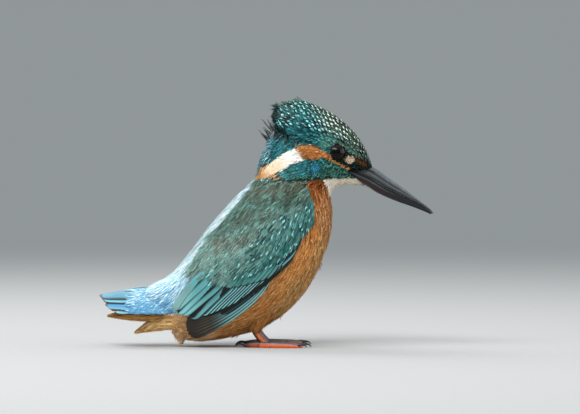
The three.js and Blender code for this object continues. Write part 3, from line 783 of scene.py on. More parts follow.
MATERIALS = {
    "down": painted_material("plumage_soft", 0.8, 0.12, (1.2, 7, 37), 0.22, 0.06),
    "sheen": painted_material("plumage_sheen", 0.52, 0.16, (1.2, 7, 37), 0.25, 0.08),
    "silk": painted_material("plumage_silk", 0.45, 0.3, (1.0, 8, 37), 0.2, 0.06),
    "flight": painted_material("flight_feathers", 0.42, 0.3, (1.5, 8, 37), 0.14, 0.08),
    "skin": painted_material("skin", 0.85, 0.1, (3, 3, 3), 0.2, 0.1),
    "bill": painted_material("bill_horn", 0.34, 0.4, (0.25, 1.4, 1.4), 0.3, 0.1, feather=False),
    "scute": painted_material("foot_scales", 0.45, 0.4, (1.1, 1.6, 1.6), 0.25, 0.15, feather=False),
    "claw": painted_material("claw_horn", 0.3, 0.5, (0.4, 1.5, 1.5), 0.25, 0.05, feather=False, coat=0.3),
    "eye": painted_material("eye_surface", 0.12, 0.16, (2.5, 2.5, 2.5), 0.3, 0.0, feather=False),
}


# ------------------------------------------------------------------ body plumage

LINE_STEPS = 6  # points along the middle line of a feather
NEAR_TIP = 4  # which of them a feather's colours are taken at
STEPS = np.array([0, 0.3, 0.58, 0.78, 0.9, 1])  # the points along a strand
FULL = np.array([0.75, 1.1, 1.1, 1.0, 0.75, 0.25])  # how full it is at each
CROWN_ROW, CROWN_COLUMN = 2.75, 2.3  # spacing of the crown's spotted feathers, closer near the bill
EYE_RING = 4.05  # how far from the eye's middle the bare black skin reaches, mm
BLUR = 0.22  # how far the markings' edges are spread, mm


def bill_closeness(point):
    """How much smaller the feathers are near the bill: 0.62 at its base and 1 well away from it."""
    return mix(0.62, 1.0, smooth(np.linalg.norm(point - body(np.array(1.0), np.array(0.0)), axis=-1), 1, 18))


def crown_lattice():
    """Staggered roots over the whole head, in rows across it."""
    us = np.linspace(place("hindneck"), 1, 500)
    top = body(us, 0 * us)
    steps = np.linalg.norm(np.diff(top, axis=0), axis=-1) / bill_closeness(top[1:])
    run = np.concatenate([[0], np.cumsum(steps)])
    roots = []
    for row, u in enumerate(np.interp(np.arange(0, run[-1], CROWN_ROW), run, us)):
        angles = np.linspace(0, 2.3, 200)
        across = body(np.full(200, u), angles)
        column = CROWN_COLUMN * bill_closeness(across[0])
        reach = np.concatenate([[0], np.cumsum(np.linalg.norm(np.diff(across, axis=0), axis=-1))])
        half = np.interp(np.arange(0.5 * (row % 2), reach[-1] / column) * column, reach, angles)
        both = np.concatenate([half, -half[half > 0]])
        roots.append(np.stack([np.full(len(both), u), both], -1))
    return np.concatenate(roots)


def feather_roots(rng):
    """Evenly spaced roots over the whole body, and which of them are the crown's spotted lattice."""
    count = 300_000
    lattice = crown_lattice()
    planted = np.arange(len(lattice) + count) < len(lattice)
    jitter = rng.normal(size=lattice.shape) * [6e-4, 0.012]
    scattered = np.stack([rng.uniform(0, 1, count), rng.uniform(-math.pi, math.pi, count)], -1)
    u, angle = np.concatenate([lattice + jitter, scattered]).T
    u = np.clip(u, 0, 1)
    point, _, along, around = body_frame(u, angle)
    area = np.linalg.norm(np.cross(along, around), axis=-1)
    kind = tract(point, u, angle)
    gap = np.array([TRACTS[name]["gap"] for name in TRACT_NAMES])[kind]
    weight = area / gap**2
    scaled = np.isin(kind, [TRACT_INDEX["crown"], TRACT_INDEX["crest"]])
    kept = np.where(planted, scaled, rng.uniform(size=len(u)) < weight / np.quantile(weight, 0.98))
    kept &= ~under_wing(point)
    kept &= np.linalg.norm(np.abs(point) - EYE, axis=-1) > EYE_RADIUS + 0.15
    x, y, z = side_view(point)
    kept &= ~(inside(np.stack([x, z], -1), GAPE) & (y > 2.2) & (u > place("hindneck")))
    u, angle, point, gap, planted = u[kept], angle[kept], point[kept], gap[kept], planted[kept]
    tree = KDTree(len(point))
    for i, p in enumerate(point):
        tree.insert(p, i)
    tree.balance()
    free = np.ones(len(point), bool)
    chosen = []
    for i in range(len(point)):
        if not free[i]:
            continue
        chosen.append(i)
        for _, j, _ in tree.find_range(point[i], gap[i]):
            free[j] = False
    return u[chosen], angle[chosen], planted[chosen]


def strands(line, normal, side, wide, depth, proud, look, rng):
    """Fans each feather's line out into thin ribbons. line, normal and side are (feathers, steps, 3).
    Gives points (feathers, strands, along, 2, 3), and each ribbon's place along, 0..1, and across, -1..1."""
    feathers, steps = line.shape[:2]
    shape = look["strands"]
    across = np.linspace(-1, 1, shape) + rng.uniform(-0.12, 0.12, (feathers, shape))
    reach = 1 - 0.28 * across**2 + rng.uniform(-look.get("ragged", 0.08), 0.05, (feathers, shape))
    a = STEPS
    at = reach[..., None] * a * (steps - 1)
    i = np.clip(at.astype(int), 0, steps - 2)
    t = (at - i)[..., None]
    row = np.arange(feathers)[:, None, None]
    point = mix(line[row, i], line[row, i + 1], t)
    up = mix(normal[row, i], normal[row, i + 1], t)
    left = mix(side[row, i], side[row, i + 1], t)
    fan = 0.15 + 0.85 * a**0.7
    wide, depth, proud = wide[:, None, None], depth[:, None, None], proud[:, None, None]
    offset = across[..., None] * fan + rng.uniform(-0.12, 0.12, (feathers, shape, 1)) * a**2
    rise = mix(-depth, proud, a**0.8) - 0.1 * wide * (across[..., None] * fan) ** 2
    rise = rise + rng.uniform(-0.05, 0.08, (feathers, shape, 1)) * a
    middle = point + left * (wide / 2 * offset)[..., None] + up * rise[..., None]
    thin = wide / shape * look["thick"] * FULL * rng.uniform(0.8, 1.15, (feathers, shape, 1))
    edge = left * thin[..., None]
    points = np.stack([middle - edge, middle + edge], 3)
    return points, np.broadcast_to(a, at.shape), np.broadcast_to(across[..., None], at.shape)


def feather_tints(marks, hairs, look, a, across, rng):
    """Vertex colours of ribbons: hairs are the marks of each ribbon, and marks those of its feather."""
    feathers, shape = a.shape[:2]

    def each(values):
        return values.reshape(feathers, shape, 1, -1)

    odd = rng.uniform(size=(feathers, shape, 1, 1)) < each(hairs.share)
    main = np.where(odd, each(hairs.alt), each(hairs.main))
    tip = np.where(odd, each(hairs.alt), each(hairs.tip))
    # Painted shade: each ribbon's base is darkened by the look's root, under the feathers that overlap it.
    colour = mix(main * look["root"], main, smooth(a, 0.05, 0.6)[..., None])
    colour = mix(colour, tip, smooth(a, 0.6, 0.9)[..., None])
    start = look.get("spot", 0.68)
    middle = smooth(np.abs(across), look.get("spot_half", 0.55), look.get("spot_half", 0.55) - 0.15)
    dot = marks.strength[:, None, None] * smooth(a, start, start + 0.1) * middle
    # Painted shadow: a ring round each spot, darkened to 0.45 of the colour.
    ring = (marks.strength > 0)[:, None, None] * (1 - middle) * smooth(a, start - 0.15, start)
    colour = mix(colour, colour * 0.45, ring[..., None])
    colour = mix(colour, marks.spot[:, None, None], dot[..., None])
    shade = 1 + look["contrast"] * rng.uniform(-1, 1, (feathers, shape))
    shade = shade * (1 + 0.08 * rng.uniform(-1, 1, (feathers, 1)))
    return colour * shade[..., None, None]


def patch_map(root, a, across):
    """OFBake coordinates: a patch 0.003 across at the root's place on the unwrapped surface."""
    local = np.stack([across, a - 0.5], -1) * [0.0013, 0.003]
    centre = (0.01 + 0.98 * root)[:, None, None] + local
    narrow = np.array([[-0.0001, 0], [0.0001, 0]])
    return centre[:, :, :, None] + narrow


def plumes(coat, line, normal, side, long, wide, depth, proud, marks, look, root, rng, painted=None):
    """Adds feathers made of ribbons to a coat. root is each one's place on an unwrap, 0..1 both ways.
    painted gives the marks of ribbons from the points near their tips, if they differ in a feather."""
    points, a, across = strands(line, normal, side, wide, depth, proud, look, rng)
    feathers, shape = points.shape[:2]
    hairs = painted(points[:, :, -2].mean(2)) if painted else marks.hairs(shape)
    tints = feather_tints(marks, hairs, look, a, across, rng)
    chance = np.broadcast_to(rng.uniform(size=(feathers, shape, 1)), a.shape)
    vane = np.stack([a * long[:, None, None], across * wide[:, None, None] / 2, chance], -1)
    patches = patch_map(root, a, across)
    flat = (feathers * shape,)
    coat.add(
        points.reshape(flat + points.shape[2:]),
        np.broadcast_to(tints[:, :, :, None], points.shape).reshape(flat + points.shape[2:]),
        np.broadcast_to(vane[:, :, :, None], points.shape).reshape(flat + points.shape[2:]),
        patches.reshape(flat + patches.shape[2:]),
    )


TRACT_FINISH = {  # each tract's material and slot
    "crown": ("sheen", "plumage_blue"), "crest": ("sheen", "plumage_blue"), "nape": ("sheen", "plumage_blue"),
    "face": ("down", "plumage_blue"), "ear": ("down", "plumage_orange"), "malar": ("sheen", "plumage_blue"),
    "patch": ("down", "plumage_orange"), "throat": ("down", "plumage_orange"),
    "breast": ("down", "plumage_orange"), "belly": ("down", "plumage_orange"),
    "vent": ("down", "plumage_orange"), "shoulder": ("sheen", "plumage_blue"),
    "back": ("silk", "plumage_cyan"), "rump": ("silk", "plumage_cyan"),
}


def body_plumage():
    rng = np.random.default_rng(7)
    u, angle, planted = feather_roots(rng)
    point, _, _, _ = body_frame(u, angle)
    kind = tract(point, u, angle)

    def per_feather(key):
        return np.array([TRACTS[name][key] for name in TRACT_NAMES])[kind]

    close = bill_closeness(point)
    size = close * rng.uniform(0.9, 1.12, len(u))
    long, wide = per_feather("long") * size, per_feather("wide") * close
    long = np.where(kind == TRACT_INDEX["rump"], long * np.clip((point[:, 2] - 14) / 13, 0.25, 1), long)
    long = np.where(kind == TRACT_INDEX["malar"], long * mix(1.9, 1.0, smooth(point[:, 0], 4, 16)), long)
    turn = rng.normal(size=len(u)) * per_feather("messy")
    line, normal, side = follow(u, angle, long, LINE_STEPS, turn)
    line, normal = straighten(line, normal, long, kind)
    marks = markings(line[:, NEAR_TIP], u, angle, rng)
    crowned = np.isin(kind, [TRACT_INDEX["crown"], TRACT_INDEX["crest"]])
    x, _, z = side_view(line[:, NEAR_TIP])
    marks.strength[crowned & ~planted] *= 0.55 * smooth(spotted_height(x, z), 4, 0)[crowned & ~planted]
    depth, proud = per_feather("depth") * size, per_feather("proud") * rng.uniform(0.5, 1.5, len(u))
    proud[crowned & planted] += 0.25
    root = np.stack([angle / (2 * math.pi) + 0.5, u], -1)
    for number, name in enumerate(TRACT_NAMES):
        mine = kind == number
        material, slot = TRACT_FINISH[name]
        coat = Coat(f"coat_{name}", material, slot)

        def painted(tips):
            shape = tips.shape[1]
            spread = tips.reshape(-1, 3) + rng.normal(size=(tips.size // 3, 3)) * BLUR
            return markings(spread, np.repeat(u[mine], shape), np.repeat(angle[mine], shape), rng)

        plumes(coat, line[mine], normal[mine], side[mine], long[mine], wide[mine], depth[mine], proud[mine],
               marks.only(mine), TRACTS[name], root[mine], rng, painted)
        coat.build()


def straighten(line, normal, long, kind):
    """Lets the crest's feathers leave the surface: they go on straight from their roots."""
    height = line[:, 0, 2]
    amount = np.where(kind == TRACT_INDEX["crest"], 0.8 * smooth(height, 97, 105), 0.0)
    first = unit(line[:, 1] - line[:, 0])
    steps = np.linspace(0, 1, line.shape[1])[None, :, None] * long[:, None, None]
    straight = line[:, :1] + first[:, None] * steps - normal[:, :1] * 0.3 * steps
    line = mix(line, straight, amount[:, None, None])
    normal = unit(mix(normal, np.broadcast_to(normal[:, :1], normal.shape), amount[:, None, None]))
    return line, normal


# ------------------------------------------------------------------ the wings

# The closed wing in the side view, as x, z.
WING_OUTLINE = [
    (-6.5, 76), (-14.9, 65.9), (-20.4, 58.9), (-28.1, 49.7), (-33.2, 42), (-36.5, 35.8), (-38.7, 28.7),
    (-41.9, 21), (-39.9, 15.4), (-35.5, 13), (-35.2, 3.4), (-28.3, 5.1), (-15.8, 14.2), (-2, 25.9),
    (5.4, 34.1), (14.2, 45.5), (17.4, 52.7), (23, 60), (21, 72), (12, 76.5),
]
WING_AXIS = np.array([[8.0, 70.0], [-37.0, 15.0]])  # from the shoulder to the tip, as x and z
WING_TIP_OUT = 9.5  # how far from the middle plane its tip stays where the body gets thin, mm


def under_wing(point):
    """Whether a body point is hidden under the wing."""
    xz = np.stack([point[..., 0] - SHIFT[0], point[..., 2]], -1)
    middle = np.mean(WING_OUTLINE, 0)
    shrunk = [tuple(middle + (np.array(p) - middle) * 0.86) for p in WING_OUTLINE]
    width = half_width(point[..., 0], point[..., 2])
    return inside(xz, shrunk) & (np.abs(point[..., 1]) > 0.55 * width)


def wing_surface(xz, height, side):
    """Points above the folded wing's surface, and its normals. side is -1 for the right wing."""
    def out(x, z):
        axis = WING_AXIS[1] - WING_AXIS[0]
        along = ((x - WING_AXIS[0, 0]) * axis[0] + (z - WING_AXIS[0, 1]) * axis[1]) / (axis @ axis)
        tip = WING_TIP_OUT * smooth(along, 0.45, 1)
        flesh = half_width(x, z)
        return np.sqrt(flesh**2 + tip**2 * smooth(flesh, 16, 6)) + 0.2

    x, z = xz[..., 0] + SHIFT[0], xz[..., 1]
    h = 1.5
    y = (out(x, z) * 2 + out(x - h, z) + out(x + h, z) + out(x, z - h) + out(x, z + h)) / 6
    slope_x = (out(x + h, z) - out(x - h, z)) / (2 * h)
    slope_z = (out(x, z + h) - out(x, z - h)) / (2 * h)
    normal = unit(np.stack([-np.clip(slope_x, -1.2, 1.2), np.ones_like(x), -np.clip(slope_z, -1.2, 1.2)], -1))
    point = np.stack([x, y, z], -1) + normal * height[..., None]
    flip = np.array([1, side, 1])
    return point * flip, normal * flip


VANE_ALONG, VANE_ACROSS = 16, 13  # points of a whole feather
CAMBER = 0.04  # how much lower its edges are than its middle, mm


def vanes(root, tip, wide, bend, low, high, side, round_from):
    """Whole feathers between [x, z] roots and tips, lying on the wing. low and high are the heights of
    their roots and tips above it. Gives points and the place along and across of each, 0..1 and -1..1,
    where -1 is the edge to the front and below."""
    a = np.linspace(0, 1, VANE_ALONG)[None, :, None]
    a = 1 - (1 - a) ** 1.35
    b = np.linspace(-1, 1, VANE_ACROSS)[None, None, :]
    way = tip - root
    cross = unit(np.stack([way[:, 1], -way[:, 0]], -1))
    start = smooth(a, -0.05, 0.22) * 0.75 + 0.25
    end = np.sqrt(np.clip(1 - (np.clip(a - round_from, 0, 1) / (1 - round_from)) ** 2, 0.004, 1))
    half = wide[:, None, None] / 2 * start * end
    centre = root[:, None] + way[:, None] * a[..., 0][..., None]
    centre = centre + cross[:, None] * (4 * a * (1 - a))[..., 0, None] * bend[:, None, None]
    flat = centre[:, :, None] + cross[:, None, None] * (half * b)[..., None]
    height = mix(low[:, None, None], high[:, None, None], a) - CAMBER * b**2 * start
    points, _ = wing_surface(flat, height, side)
    return points, np.broadcast_to(a, flat.shape[:-1]), np.broadcast_to(b, flat.shape[:-1])


def cell_patches(count, a, b):
    """OFBake coordinates that give each whole feather a cell of its own."""
    side = math.ceil(math.sqrt(count))
    number = np.arange(count)
    corner = np.stack([number % side, number // side], -1) / side
    local = np.stack([(b + 1) / 2, a], -1) * 0.86 + 0.07
    return corner[:, None, None] + local / side


def add_vanes(coat, points, tints, a, b, long, wide, rng):
    chance = np.broadcast_to(rng.uniform(size=(len(points), 1, 1)), a.shape)
    slant = a * long[:, None, None] - np.abs(b) * wide[:, None, None] * 0.4
    vane = np.stack([b * wide[:, None, None] / 2, slant, chance], -1)
    coat.add(points, tints, vane, cell_patches(len(points), a, b))


WING_COLOURS = palette(
    covert="2f6a65", covert_grey="6b857b", covert_teal="62a6a2", covert_dark="1c4843", spot="98eef2",
    teal="86c8cb", teal_mid="5a9c9e", teal_deep="23595f", black="060908", edge="98e2e4", primary="28251d",
    primary_edge="565247", dust="77827a", rim="6f6355", scapular="648379", scapular_grey="7b8074",
    scapular_dark="36504a", scapular_teal="88b8ae",
)


def blades(coat, side, root, tip, wide, bend, low, high, paint, rng, round_from=0.86):
    """Adds whole feathers to a wing. root and tip are the [x, z] ends of each one's front, lower edge,
    and bend is how far that edge swings up in its middle. Each feather is wide mm across, upwards, and
    round_from is where along it its tip begins. paint gives the colours from vanes()'s places."""
    root, tip = np.array(root, float), np.array(tip, float)
    wide, bend, low, high = (np.broadcast_to(np.asarray(v, float), len(tip)) for v in (wide, bend, low, high))
    way = unit(tip - root)
    up = np.stack([way[:, 1], -way[:, 0]], -1) * (wide / 2)[:, None]
    points, a, b = vanes(root + up, tip + up, wide, bend, low, high, side, round_from)
    add_vanes(coat, points, paint(a, b), a, b, np.linalg.norm(tip - root, axis=-1), wide, rng)


def primaries(coat, side, rng):
    """Dark brown feathers with thin edges, the outermost lowest."""
    c = WING_COLOURS
    rank = np.linspace(0, 1, 7)
    tip = spline([(-33.4, 3.4), (-34.6, 4.7), (-35.2, 6.2), (-35.5, 7.7), (-35.5, 9.2), (-35.1, 10.7),
                  (-34.2, 12.2)])
    root = np.stack([mix(4, 2, rank), mix(31.5, 37.5, rank)], -1)
    shade = rank[:, None, None]

    def paint(a, b):
        brown = blend(c.black, c.primary, smooth(a, 0.5, 0.8))
        bright = blend(c.edge, c.primary_edge, smooth(a, 0.55, 0.78))
        lit = smooth(b, -0.62, -0.72) * smooth(b, -0.96, -0.88) * smooth(a, 0.98, 0.8)
        lit = lit * np.where(shade < 0.4, mix(1.0, 0.75, shade), smooth(a, 0.5, 0.62) * 0.75)
        return blend(brown, bright, lit)

    blades(coat, side, root, tip(rank), 4.6, mix(-3.2, -3.9, rank), mix(0.0, 0.3, rank), mix(0.0, 0.6, rank),
           paint, rng, 0.92)


def between(coat, side, rng):
    """Dark feathers with one dull band each that show between the secondaries and the primaries' edges."""
    c = WING_COLOURS

    def paint(a, b):
        dull = smooth(b, -0.75, -0.65) * smooth(b, -0.3, -0.4) * smooth(a, 0.15, 0.5)
        return blend(c.black, c.teal_deep, 0.8 * dull)

    root, tip = [(12, 42), (10.5, 41.2)], [(-19.5, 14.6), (-14.5, 19.2)]
    blades(coat, side, root, tip, 4, -1.6, 0.35, 0.45, paint, rng)


def secondaries(coat, side, rng):
    """One thin lit band and one dark line each, the rearmost on top."""
    c = WING_COLOURS
    tip = np.array([(-0.2, 29.9), (-5.2, 26.4), (-10.3, 22.9), (-16, 18.7), (-18.6, 17.6), (-21, 16.7),
                    (-23.2, 16), (-25.3, 15.3), (-27.6, 14.5)])
    root = tip + np.array([0.72, 0.695]) * 21.0
    height = np.linspace(0.7, 1.18, len(tip))

    def paint(a, b):
        teal = blend(c.teal, c.edge, smooth(a, 0.4, 0.85))
        colour = blend(c.black, teal, smooth(b, -0.84, -0.74) * smooth(b, -0.44, -0.56))
        return blend(colour, c.teal_deep, smooth(b, -0.56, -0.46) * smooth(b, -0.2, -0.36))

    blades(coat, side, root, tip, 4.2, 0.3, height - 0.04, height, paint, rng, 0.9)


def secondary_edges(coat, side, rng):
    """The foremost secondaries' dark edges, which cover the others' ends."""
    def paint(a, b):
        return np.broadcast_to(WING_COLOURS.black, a.shape + (3,))

    root, tip = [(7, 35.6), (-10.4, 22.2)], [(-14.5, 19.6), (-28.6, 14.3)]
    blades(coat, side, root, tip, [1.5, 1.3], [0, -0.5], 1.15, 1.25, paint, rng, 0.4)


def tertials(coat, side, rng):
    """Broad lit outer vanes and black inner ones, the rearmost on top."""
    c = WING_COLOURS
    root = [(-12.5, 32), (-16, 31.8), (-21, 31.5), (-22, 33.5), (-26.5, 34.5)]
    tip = [(-32.6, 12.5), (-36.6, 14.2), (-38.6, 14.7), (-40.6, 16.7), (-41.2, 16.4)]
    lit_to = np.array([-0.15, 0.0, 0.08, 0.3, 1.2])[:, None, None]
    lit_to = lit_to - 0.3 * smooth(np.linspace(0, 1, VANE_ALONG), 0.4, 1)[None, :, None] * (lit_to < 0)
    dusty = np.array([0, 0, 0, 0.1, 0.5])[:, None, None]

    def paint(a, b):
        teal = blend(c.teal_mid, c.teal, smooth(b, -1.0, -0.4) * smooth(a, 0.4, 0.85))
        teal = blend(teal, c.dust, dusty * smooth(a, 0.3, 0.5))
        colour = blend(teal, c.teal_deep, 0.7 * smooth(b, lit_to - 0.4, lit_to))
        shaft = np.exp(-(((b - (lit_to - 0.9) / 2) / 0.06) ** 2))
        colour = blend(colour, c.teal_deep, 0.35 * shaft)
        colour = blend(colour, c.rim, dusty * smooth(np.maximum(b, a * 2.6 - 1.6), 0.75, 0.95))
        colour = blend(colour, c.black, smooth(b, lit_to, lit_to + 0.1) * smooth(a, 0.15, 0.3))
        return blend(colour, c.black, smooth(b, -0.9, -0.98))

    blades(coat, side, root, tip, [5.2, 4.0, 4.6, 4.4, 3.4], [0, 0, 0, 0, 0.6], np.linspace(1.0, 1.2, 5),
           np.linspace(1.45, 1.9, 5), paint, rng, 0.88)


def front_coverts(coat, side, rng):
    """Long narrow coverts along the front edge."""
    c = WING_COLOURS
    root = [(17.8, 54.5), (15.8, 50), (13.6, 46.6), (11, 44.2), (8.8, 42.4), (6.2, 41), (3.4, 39.6),
            (0.4, 38.4), (-2.8, 37.2), (-6, 36), (-9.4, 35)]
    tip = [(8.8, 36.8), (6.8, 35.3), (4.9, 34.1), (3.0, 32.9), (1.1, 31.9), (-1.3, 31.1), (-3.8, 30.4),
           (-6.4, 29.7), (-9.4, 28.9), (-12.6, 28.1), (-16, 27.6)]
    rank = np.linspace(0, 1, len(tip))

    def paint(a, b):
        colour = blend(c.covert, c.covert_teal, smooth(b, 0.3, -0.4) * 0.6)
        return blend(colour, c.black, smooth(b, -0.52, -0.66) * 0.96)

    blades(coat, side, root, tip, 3.6, mix(-0.9, -0.3, rank), mix(0.35, 1.05, rank), mix(0.6, 1.35, rank),
           paint, rng)


def flight_feathers(side, rng):
    """The whole feathers of one wing, from the lowest to the highest."""
    label = LABELS[side]
    nodes = (f"wing_{label}", f"primaries_{label}")
    coat = Coat(f"flight_{label}", "flight", "feather_dark", nodes, (1, 0.3))
    for group in (primaries, between, secondaries, secondary_edges, tertials, front_coverts):
        group(coat, side, rng)
    coat.build()


# Tips of the lowest spotted row of coverts, from the wing's front edge to its rear.
COVERT_ROW = spline([
    (22.5, 62), (19.6, 56.6), (15.8, 50.8), (11.6, 45.8), (7.3, 41.7), (2.8, 38.7), (-2.2, 36.3),
    (-7.4, 33.9), (-13, 32), (-19, 31.2), (-25.5, 31.6), (-32, 33.2),
])
COVERT_STEP = 3.1  # how far each row lies above the one below, mm
COVERT_LOWEST, COVERT_ROWS, COVERTS_IN_ROW = -2, 12, 17
WING_FRONT = ([40, 47, 52, 56, 59.5, 69, 76, 82], [11, 14.6, 16.6, 19.6, 22.8, 22.2, 19, 16])  # x by height
# In both looks root is painted shade at each feather's base, as in TRACTS.
COVERT_LOOK = dict(strands=15, thick=0.85, root=0.7, contrast=0.3, spot=0.78, spot_half=0.25, ragged=0.2)
SCAPULAR_LOOK = dict(strands=13, thick=0.55, root=0.85, contrast=0.26, ragged=0.5)


def wing_plumes(coat, root, way, long, wide, low, depth, proud, marks, look, side, rng):
    """Soft feathers on the wing's surface from [x, z] roots."""
    steps = np.linspace(0, 1, LINE_STEPS)
    flat = root[:, None] + way[:, None] * (long[:, None] * steps)[..., None]
    line, normal = wing_surface(flat, np.broadcast_to(low[:, None], flat.shape[:-1]), side)
    forward = unit(np.gradient(line, axis=1))
    side_way = np.cross(normal, forward)
    unwrap = (root - [-45, 0]) / 90
    plumes(coat, line, normal, side_way, long, wide, depth, proud, marks, look, unwrap, rng)


def covert_rows(side, rng):
    """Wing coverts in rows that step up from the flight feathers, every other row with bright dots."""
    c = WING_COLOURS
    coat = Coat(f"coverts_{LABELS[side]}", "sheen", "plumage_blue")
    row = np.repeat(np.arange(COVERT_ROWS) + COVERT_LOWEST, COVERTS_IN_ROW)
    turn = 0.5 * ((row // 2) % 2)
    t = np.tile(np.arange(COVERTS_IN_ROW), COVERT_ROWS) + turn + 0.25 * (row % 2)
    t = (t + rng.uniform(-0.12, 0.12, len(row))) / COVERTS_IN_ROW
    lift = np.where(row < 0, 2.5, COVERT_STEP) * row
    tip = COVERT_ROW(t) + np.stack([0 * lift, lift], -1) + rng.uniform(-0.35, 0.35, (len(row), 2))
    kept = inside(tip, WING_OUTLINE) & (tip[:, 1] < 64) & (row > -2) & ~((row < 0) & (tip[:, 0] > -9))
    tip, row, t = tip[kept], row[kept], t[kept]
    n = len(tip)
    way = mix(np.array([-0.35, -0.94]), np.array([-0.68, -0.73]), smooth(tip[:, 0], 14, -8)[:, None])
    way = unit(way + rng.normal(size=(n, 2)) * 0.05)
    long = 8.0 * rng.uniform(0.92, 1.1, n)
    wide = 4.4 * rng.uniform(0.9, 1.1, n)
    base = tip - way * long[:, None]
    tip[:, 0] -= np.maximum(base[:, 0] + 1.2 - np.interp(base[:, 1], *WING_FRONT), 0)
    where = np.stack([tip[:, 0], 0 * tip[:, 0], tip[:, 1]], -1)
    grey = smooth(tip[:, 1] - tip[:, 0] + 7 * ripple(where, 9, 61), 32, 62)[:, None]
    main = mix(c.covert, c.covert_grey, grey)
    odd = np.where(rng.uniform(size=(n, 1)) < 0.4, c.covert_dark, mix(c.covert_grey, c.covert_teal, 0.5))
    marks = Marks.plain(n, main, mix(main, c.covert_teal, 0.25), odd, 0.25)
    rate = np.where(row % 2 == 0, 0.95, 0.04) * np.where(tip[:, 0] > -17, 1, 0.25) * np.where(row > 5, 0.5, 1)
    rate = np.where(row < 0, 0.06, rate)
    marks.dot(rng.uniform(size=n) < rate, c.spot, rng.uniform(0.75, 1.0, n))
    rise = mix(1.25, 0.8, smooth(row, -2, 6))
    root = tip - way * long[:, None]
    wing_plumes(coat, root, way, long, wide, rise, np.full(n, 0.5), np.full(n, 0.3), marks, COVERT_LOOK,
                side, rng)
    coat.build()


# Where the roots of the scapulars lie, as x and z.
SCAPULAR_BED = [
    (21, 67), (13, 64.8), (5, 62.3), (0, 57.8), (-4, 52.8), (-6, 48.8), (-10.5, 44.3), (-15, 40.8),
    (-22, 38.3), (-28, 39), (-33.2, 38.4), (-31.5, 42), (-26.5, 49.2), (-18.8, 58.6), (-13.3, 65.4),
    (-5, 74.5), (14, 77.5), (21.5, 72),
]


def scapulars(side, rng):
    """Loose, hair-like grey-green feathers over the shoulder and the upper edge of the wing."""
    c = WING_COLOURS
    coat = Coat(f"scapulars_{LABELS[side]}", "sheen", "plumage_blue")
    xs, zs = np.meshgrid(np.arange(-42, 26, 1.4), np.arange(24, 82, 1.4))
    root = np.stack([xs.ravel(), zs.ravel()], -1) + rng.uniform(-0.7, 0.7, (xs.size, 2))
    root = root[inside(root, SCAPULAR_BED)]
    n = len(root)
    front = smooth(root[:, 0], -12, 14)[:, None]
    way = mix(np.array([-0.61, -0.79]), np.array([-0.7, -0.71]), front)
    way = unit(way + np.stack([way[:, 1], -way[:, 0]], -1) * rng.normal(size=(n, 1)) * 0.1)
    root[:, 0] -= np.maximum(root[:, 0] + 0.8 - np.interp(root[:, 1], *WING_FRONT), 0)
    long = mix(9.5, 6.0, front[:, 0]) * rng.uniform(0.8, 1.1, n)
    wide = mix(2.6, 2.2, front[:, 0])
    where = np.stack([root[:, 0], 0 * root[:, 0], root[:, 1]], -1)
    grey = smooth(ripple(where, 15, 21) + 0.6 * ripple(where, 5, 22), -0.7, 1.0)[:, None]
    grey = np.maximum(grey, 0.85 * smooth(root[:, 1], 67, 75)[:, None])
    dusky = smooth(root[:, 1] - 0.35 * root[:, 0], 52, 68)[:, None]
    main = mix(c.scapular, c.scapular_grey, grey)
    main = mix(main, mix(COLOURS.shoulder, COLOURS.shoulder_grey, grey), dusky)
    teal = mix(c.scapular_teal, COLOURS.shoulder_teal, dusky)
    odd = np.where(rng.uniform(size=(n, 1)) < 0.5, mix(c.scapular_dark, COLOURS.shoulder_dark, dusky), teal)
    marks = Marks.plain(n, main, mix(main, teal, 0.25 * rng.uniform(size=(n, 1))), odd, 0.36)
    lit = (rng.uniform(size=n) < 0.04) & (root[:, 1] < 60) & (root[:, 0] > -24)
    lit = lit & (root[:, 0] + root[:, 1] < 54)
    marks.paint(lit, main, mix(c.spot, teal[:1], 0.5), c.scapular_teal, 0.4)
    proud = 0.22 * rng.uniform(0.4, 1.4, n)
    wing_plumes(coat, root, way, long, wide, np.full(n, 1.05), np.full(n, 0.45), proud, marks, SCAPULAR_LOOK,
                side, rng)
    coat.build()


# ------------------------------------------------------------------ the tail

TAIL_ROOT_X, TAIL_TIP_X = -48.0, -77.6  # mm
TAIL_ROOF = 1.6  # how sharply the tail's roof bends
TAIL_DROP = (11.6, 7.6)  # how much lower its edges are than its ridge, at the root and at the tip, mm
TAIL_HALF = (9.0, 10)  # its half width at both
COVERTS_ABOVE = 0.85  # how far the feathers over its base lie above the tail, mm
tail_ridge = spline([27.4, 26.4, 25.4, 23.6])  # its height from root to tip


def tail_along(x):
    return np.clip((x - TAIL_ROOT_X) / (TAIL_TIP_X - TAIL_ROOT_X), 0, 1)


def tail_height(x, share):
    """Height of the roof-shaped tail at x and a share of its half width."""
    t = tail_along(x)
    return tail_ridge(t)[..., 0] - mix(*TAIL_DROP, t) * np.abs(share) ** TAIL_ROOF


def tail_share(x, z):
    """The share of the half width at which the roof has a height."""
    t = tail_along(x)
    return (np.maximum(tail_ridge(t)[..., 0] - z, 0) / mix(*TAIL_DROP, t)) ** (1 / TAIL_ROOF)


def tail_surface(flat, height):
    """Points on the roof-shaped tail from [x, share of the half width]."""
    x, v = flat[..., 0], flat[..., 1]
    return np.stack([x + SHIFT[0], v * mix(*TAIL_HALF, tail_along(x)), tail_height(x, v) + height], -1)


# The six feathers of each side from the middle one out: height of the outer edge in the side view, width
# as a share of the half width, tip x, and where across the vane, -1 to 1, its lit outer part begins; the
# vane inside that is painted shadow from the feather above.
TAIL_RANKS = [
    (21.6, 0.7, -77.6, -1.2), (20.2, 0.4, -76.4, 0.7), (19.5, 0.36, -75.6, 1.2), (17.6, 0.34, -74.6, 0.1),
    (16.8, 0.3, -73.0, 1.2), (15.9, 0.26, -70.6, 0.45),
]
TAIL_RISE = 0.7  # how much higher the lower feathers' edges are at their tips, mm
TAIL_COLOURS = palette(
    pale="92b8c2", blue="52879c", line="68aabe", stripe="4288b0", black="0b1014", brown="7c5a32",
)


